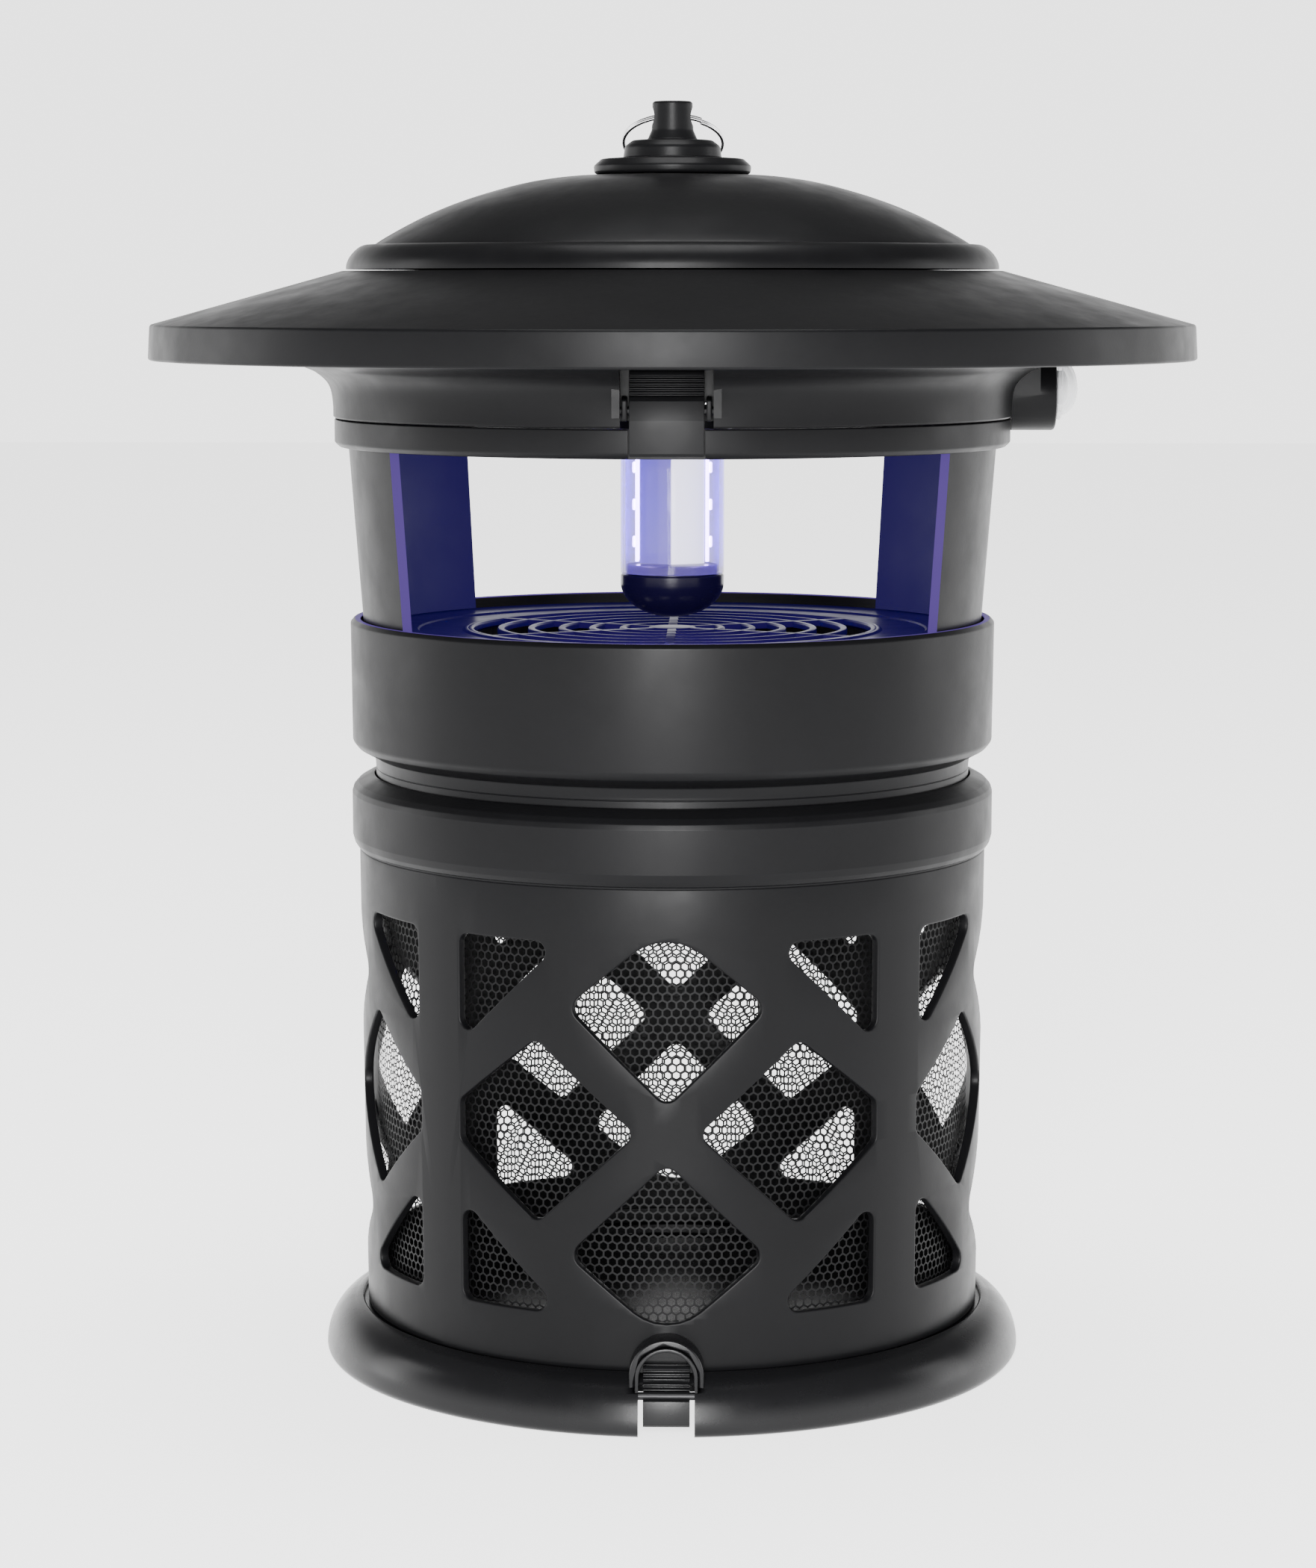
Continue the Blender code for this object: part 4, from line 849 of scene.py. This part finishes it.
def mesh_sheet():
    """The basket of perforated sheet: a honeycomb of small holes between two plain hems."""
    columns = 216
    pitch = 2 * math.pi * BASKET_R / columns
    row_step = pitch * math.sqrt(3) / 2
    first_z = 17.0
    rows = int((128.5 - first_z) / row_step)
    hole_r = 0.40 * pitch / math.cos(math.radians(30))
    cell_r = 0.5 * pitch / math.cos(math.radians(30))
    verts, faces = [], []
    for row in range(rows):
        z = first_z + row * row_step
        shift = 0.5 * pitch if row % 2 else 0.0
        for column in range(columns):
            x = column * pitch + shift
            base = len(verts)
            for radius in (cell_r, hole_r):
                for k in range(6):
                    a = math.radians(60 * k)
                    verts.append((x + radius * math.sin(a), z + radius * math.cos(a)))
            for k in range(6):
                j = (k + 1) % 6
                faces.append((base + k, base + j, base + 6 + j, base + 6 + k))
    points = np.array(verts)
    angle = points[:, 0] / BASKET_R
    places = np.column_stack((BASKET_R * np.sin(angle), -BASKET_R * np.cos(angle), points[:, 1])) * MM
    mesh = bpy.data.meshes.new("basket_mesh")
    mesh.from_pydata(places.tolist(), [], faces)
    mesh.validate()
    mesh.materials.append(MAT["mesh_steel"])
    sheet = bpy.data.objects.new("basket_mesh", mesh)
    bpy.context.scene.collection.objects.link(sheet)
    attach(sheet, "cage")
    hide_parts("mesh_basket")
    hems = []
    for z0, z1 in ((13.5, first_z + 0.6), (first_z + (rows - 1) * row_step - 0.6, BASKET_TOP_Z)):
        hems.append(turned(rounded([(BASKET_R - 0.7, z0), (BASKET_R, z0), (BASKET_R, z1),
                                    (BASKET_R - 0.7, z1)], 0.2, 3)))
    make("basket_hems", merge(*hems), "cage", "mesh_steel", smooth=35)


# ---------------------------------------------------------------- base, latch and door

def arch(half_width, top_z, bottom_z, steps=32):
    outline = [(-half_width, bottom_z), (half_width, bottom_z)]
    for i in range(steps + 1):
        t = math.pi * i / steps
        outline.append((half_width * math.cos(t), top_z - half_width + half_width * math.sin(t)))
    return outline


def horseshoe(outer_r, outer_z, inner_r, inner_z, bottom_z, steps=32):
    """An arch with an arched opening, as one outline."""
    outline = [(outer_r, bottom_z)]
    for radius, centre_z, turn in ((outer_r, outer_z, 1), (inner_r, inner_z, -1)):
        for i in range(steps + 1):
            t = math.pi * (i if turn > 0 else steps - i) / steps
            outline.append((radius * math.cos(t), centre_z + radius * math.sin(t)))
        outline.append((-turn * radius, bottom_z))
        if turn > 0:
            outline.append((-inner_r, bottom_z))
    return outline


def plate_y(outline, y0, y1, bevel=0.0):
    """An outline of (x, z) pulled along Y."""
    bm = extruded([(x, z) for x, z in outline], y0, y1, bevel)
    bm.transform(Matrix(((0, 1, 0, 0), (1, 0, 0, 0), (0, 0, 1, 0), (0, 0, 0, 1))))
    bmesh.ops.recalc_face_normals(bm, faces=bm.faces)
    return bm


def skirt(inset, steps):
    return arc(81.0, 2.0, BASE_R - 81.0 - inset, 12.0 - 1.2 * inset, 10, 90, steps)


def base_ring():
    foot = arc(89.1, 2.0, 2.0, 2.0, 90, 180, 6)
    outline = [(81.2, 13.2), (81.3, 13.9), (81.7, BASE_LIP_Z), (82.3, BASE_LIP_Z)]
    outline += skirt(0, 20)[1:] + foot[1:] + [(86.9, 0.0)] + list(reversed(skirt(2.5, 12)))
    outline += [(74.6, 10.9), (74.6, 13.2)]
    ears = [block(*sorted((s * 9.4, s * 12.6)), 77.0, 83.0, 4.4, 11.7) for s in (-1, 1)]
    hood = plate_y(horseshoe(9.2, 14.5, 6.7, 14.1, 11.6), -87.4, -79.0, 0.6)
    rim = plate_y(horseshoe(7.7, 14.1, 6.7, 14.1, 10.6), -88.1, -85.0, 0.35)
    wall = plate_y(arch(7.4, 21.8, 11.6), -81.8, -80.0)
    notch = plate_y([(-6.9, -1.0), (6.9, -1.0), (6.9, 12.6), (-6.9, 12.6)], -95.0, -81.6)
    opening = plate_y(arch(6.7, 20.8, 11.0), -90.0, -82.0)
    inside = rod('Z', 80.9, 13.2, 30.0, sides=ROUND)
    holes = merge(pin_bore(DOOR_HINGE, 20, 1.5), pin_bore(LATCH_PIVOT, 9.6))
    ring = combined(turned(outline), [
        ('UNION', merge(*ears)), ('DIFFERENCE', opening), ('UNION', hood), ('UNION', wall),
        ('UNION', rim), ('DIFFERENCE', notch), ('DIFFERENCE', inside), ('DIFFERENCE', holes)])
    make("base_skirt", ring, "cage", "base_plastic", "base_ring", smooth=30)


def latch():
    front = [(-84.9, 16.65, 0.5)]
    for i in range(RIDGES):
        z = 15.9 - 1.28 * i
        front += [(-85.9 - 0.1 * i, z, 0.25), (-85.0 - 0.1 * i, z - 0.35, 0.15),
                  (-85.0 - 0.1 * i, z - 0.65, 0.15), (-86.0 - 0.1 * i, z - 0.95, 0.2)]
    outline = front + [(-87.3, 9.3, 0.6), (-88.6, 8.8, 0.6), (-89.0, 3.0, 0.5), (-88.4, 2.3, 0.3),
                       (-86.6, 2.3, 0.3), (-86.0, 4.4, 0.5), (-84.5, 8.4, 0.5), (-83.4, 13.0, 0.5),
                       (-83.2, 16.65, 0.3)]
    pad = extruded(rounded(outline, 0.3, 3), -5.7, 5.7, 0.3, 3)
    pad = combined(pad, [('DIFFERENCE', pin_bore(LATCH_PIVOT, 9))])
    make("latch_pad", pad, "bottom_latch", "base_plastic", "bottom_latch", smooth=30)


def door():
    outline = [(0, 10.4, 0), (71.0, 10.4, 0.2), (71.8, 10.0, 0.2), (78.5, 10.0, 0.4), (78.5, 8.2, 0.4),
               (70.0, 8.2, 0.4), (69.2, 9.0, 0.3), (0, 9.0, 0)]
    panel = turned(rounded(outline, 0.3, 4))
    knuckle = rod('X', 2.4, -9.0, 9.0, (0, *DOOR_HINGE), 32, 0.3)
    web = block(-8.8, 8.8, 74.0, 80.0, 8.3, 9.9)
    tab = block(-5.4, 5.4, -82.2, -76.0, 8.3, 9.9, 0.3)
    rings = [turned(rounded([(r - 0.6, 8.3), (r + 0.6, 8.3), (r + 0.6, 9.3), (r - 0.6, 9.3)], 0.2, 2), 128)
             for r in (24.0, 46.0)]
    ear_room = [block(*sorted((s * 9.1, s * 13.4)), 76.4, 85.0, 5, 12) for s in (-1, 1)]
    panel = combined(panel, [
        ('UNION', web), ('UNION', knuckle), ('UNION', tab), ('UNION', merge(*rings)),
        ('DIFFERENCE', merge(*ear_room)), ('DIFFERENCE', pin_bore(DOOR_HINGE, 12, 1.5))])
    make("door_panel", panel, "bottom_door", "base_plastic", "bottom_door", smooth=30)


# ---------------------------------------------------------------- floor, light and camera

def studio():
    mesh = bpy.data.meshes.new("floor")
    bm = bmesh.new()
    bmesh.ops.create_grid(bm, x_segments=1, y_segments=1, size=FLOOR_HALF)
    bm.to_mesh(mesh)
    bm.free()
    floor = bpy.data.objects.new("floor", mesh)
    bpy.context.scene.collection.objects.link(floor)
    mesh.materials.append(surface("floor_paper", (0.80, 0.80, 0.80), 0.85, spread=0.03,
                                  vary=0.01, grain=300.0,
                                  Specular_IOR_Level=0.0, Emission_Color=(1.0, 1.0, 1.0, 1.0),
                                  Emission_Strength=2.2))
    world = bpy.data.worlds.new("studio")
    world.use_nodes = True
    tree = world.node_tree
    backdrop = tree.nodes["Background"]
    backdrop.inputs["Strength"].default_value = SKY_STRENGTH
    place = tree.nodes.new("ShaderNodeTexCoord")
    split = tree.nodes.new("ShaderNodeSeparateXYZ")
    tones = tree.nodes.new("ShaderNodeValToRGB")
    for element, (position, grey) in zip(tones.color_ramp.elements, SKY_TONES):
        element.position = position
        element.color = (grey, grey, grey, 1.0)
    tree.links.new(place.outputs["Generated"], split.inputs["Vector"])
    tree.links.new(split.outputs["Z"], tones.inputs["Fac"])
    tree.links.new(tones.outputs["Color"], backdrop.inputs["Color"])
    bpy.context.scene.world = world
    panels = [("key", (-0.05, -2.2, 0.75), (77, 0, -1), 0.75, 1.5, 130.0),
              ("left", (-2.0, 0.5, 0.5), (83, 0, -104), 0.6, 1.6, 12.0),
              ("right", (2.0, 0.5, 0.5), (83, 0, 104), 0.6, 1.6, 9.0),
              ("top", (0.0, 0.1, 2.0), (0, 0, 0), 1.0, 1.0, 25.0)]
    for name, place, turn, width, height, watts in panels:
        data = bpy.data.lights.new(name, 'AREA')
        data.shape = 'RECTANGLE'
        data.size = width
        data.size_y = height
        data.energy = watts
        light = bpy.data.objects.new(name, data)
        light.location = place
        light.rotation_euler = [math.radians(a) for a in turn]
        bpy.context.scene.collection.objects.link(light)


def camera():
    distance, height, down, azimuth = 1.0165, 0.2781, 7.24, 0.9
    data = bpy.data.cameras.new("camera")
    data.sensor_fit = 'HORIZONTAL'
    data.sensor_width = SENSOR_MM
    data.lens = LENS_MM
    eye = bpy.data.objects.new("camera", data)
    a = math.radians(azimuth)
    eye.location = (distance * math.sin(a), -distance * math.cos(a), height)
    aside = 0.209                     # further turn, away from the trap's axis
    eye.rotation_euler = (math.radians(90.0 - down), 0.0, math.radians(azimuth + aside))
    bpy.context.scene.collection.objects.link(eye)
    bpy.context.scene.camera = eye


dress_cad_nodes()
roof()
dome()
finial()
split_ring()
lid_housing()
clip_frame("clip_frame_front", 0)
clip_frame("clip_frame_rear", 180)
clip("clip_front", "lid_clip_front", "lid_clip_front", 0)
clip("clip_rear", "lid_clip_rear", "lid_clip_rear", 180)
switch()
lamp()
window_frame()
collar()
grille()
cage()
mesh_sheet()
base_ring()
latch()
door()
studio()
camera()
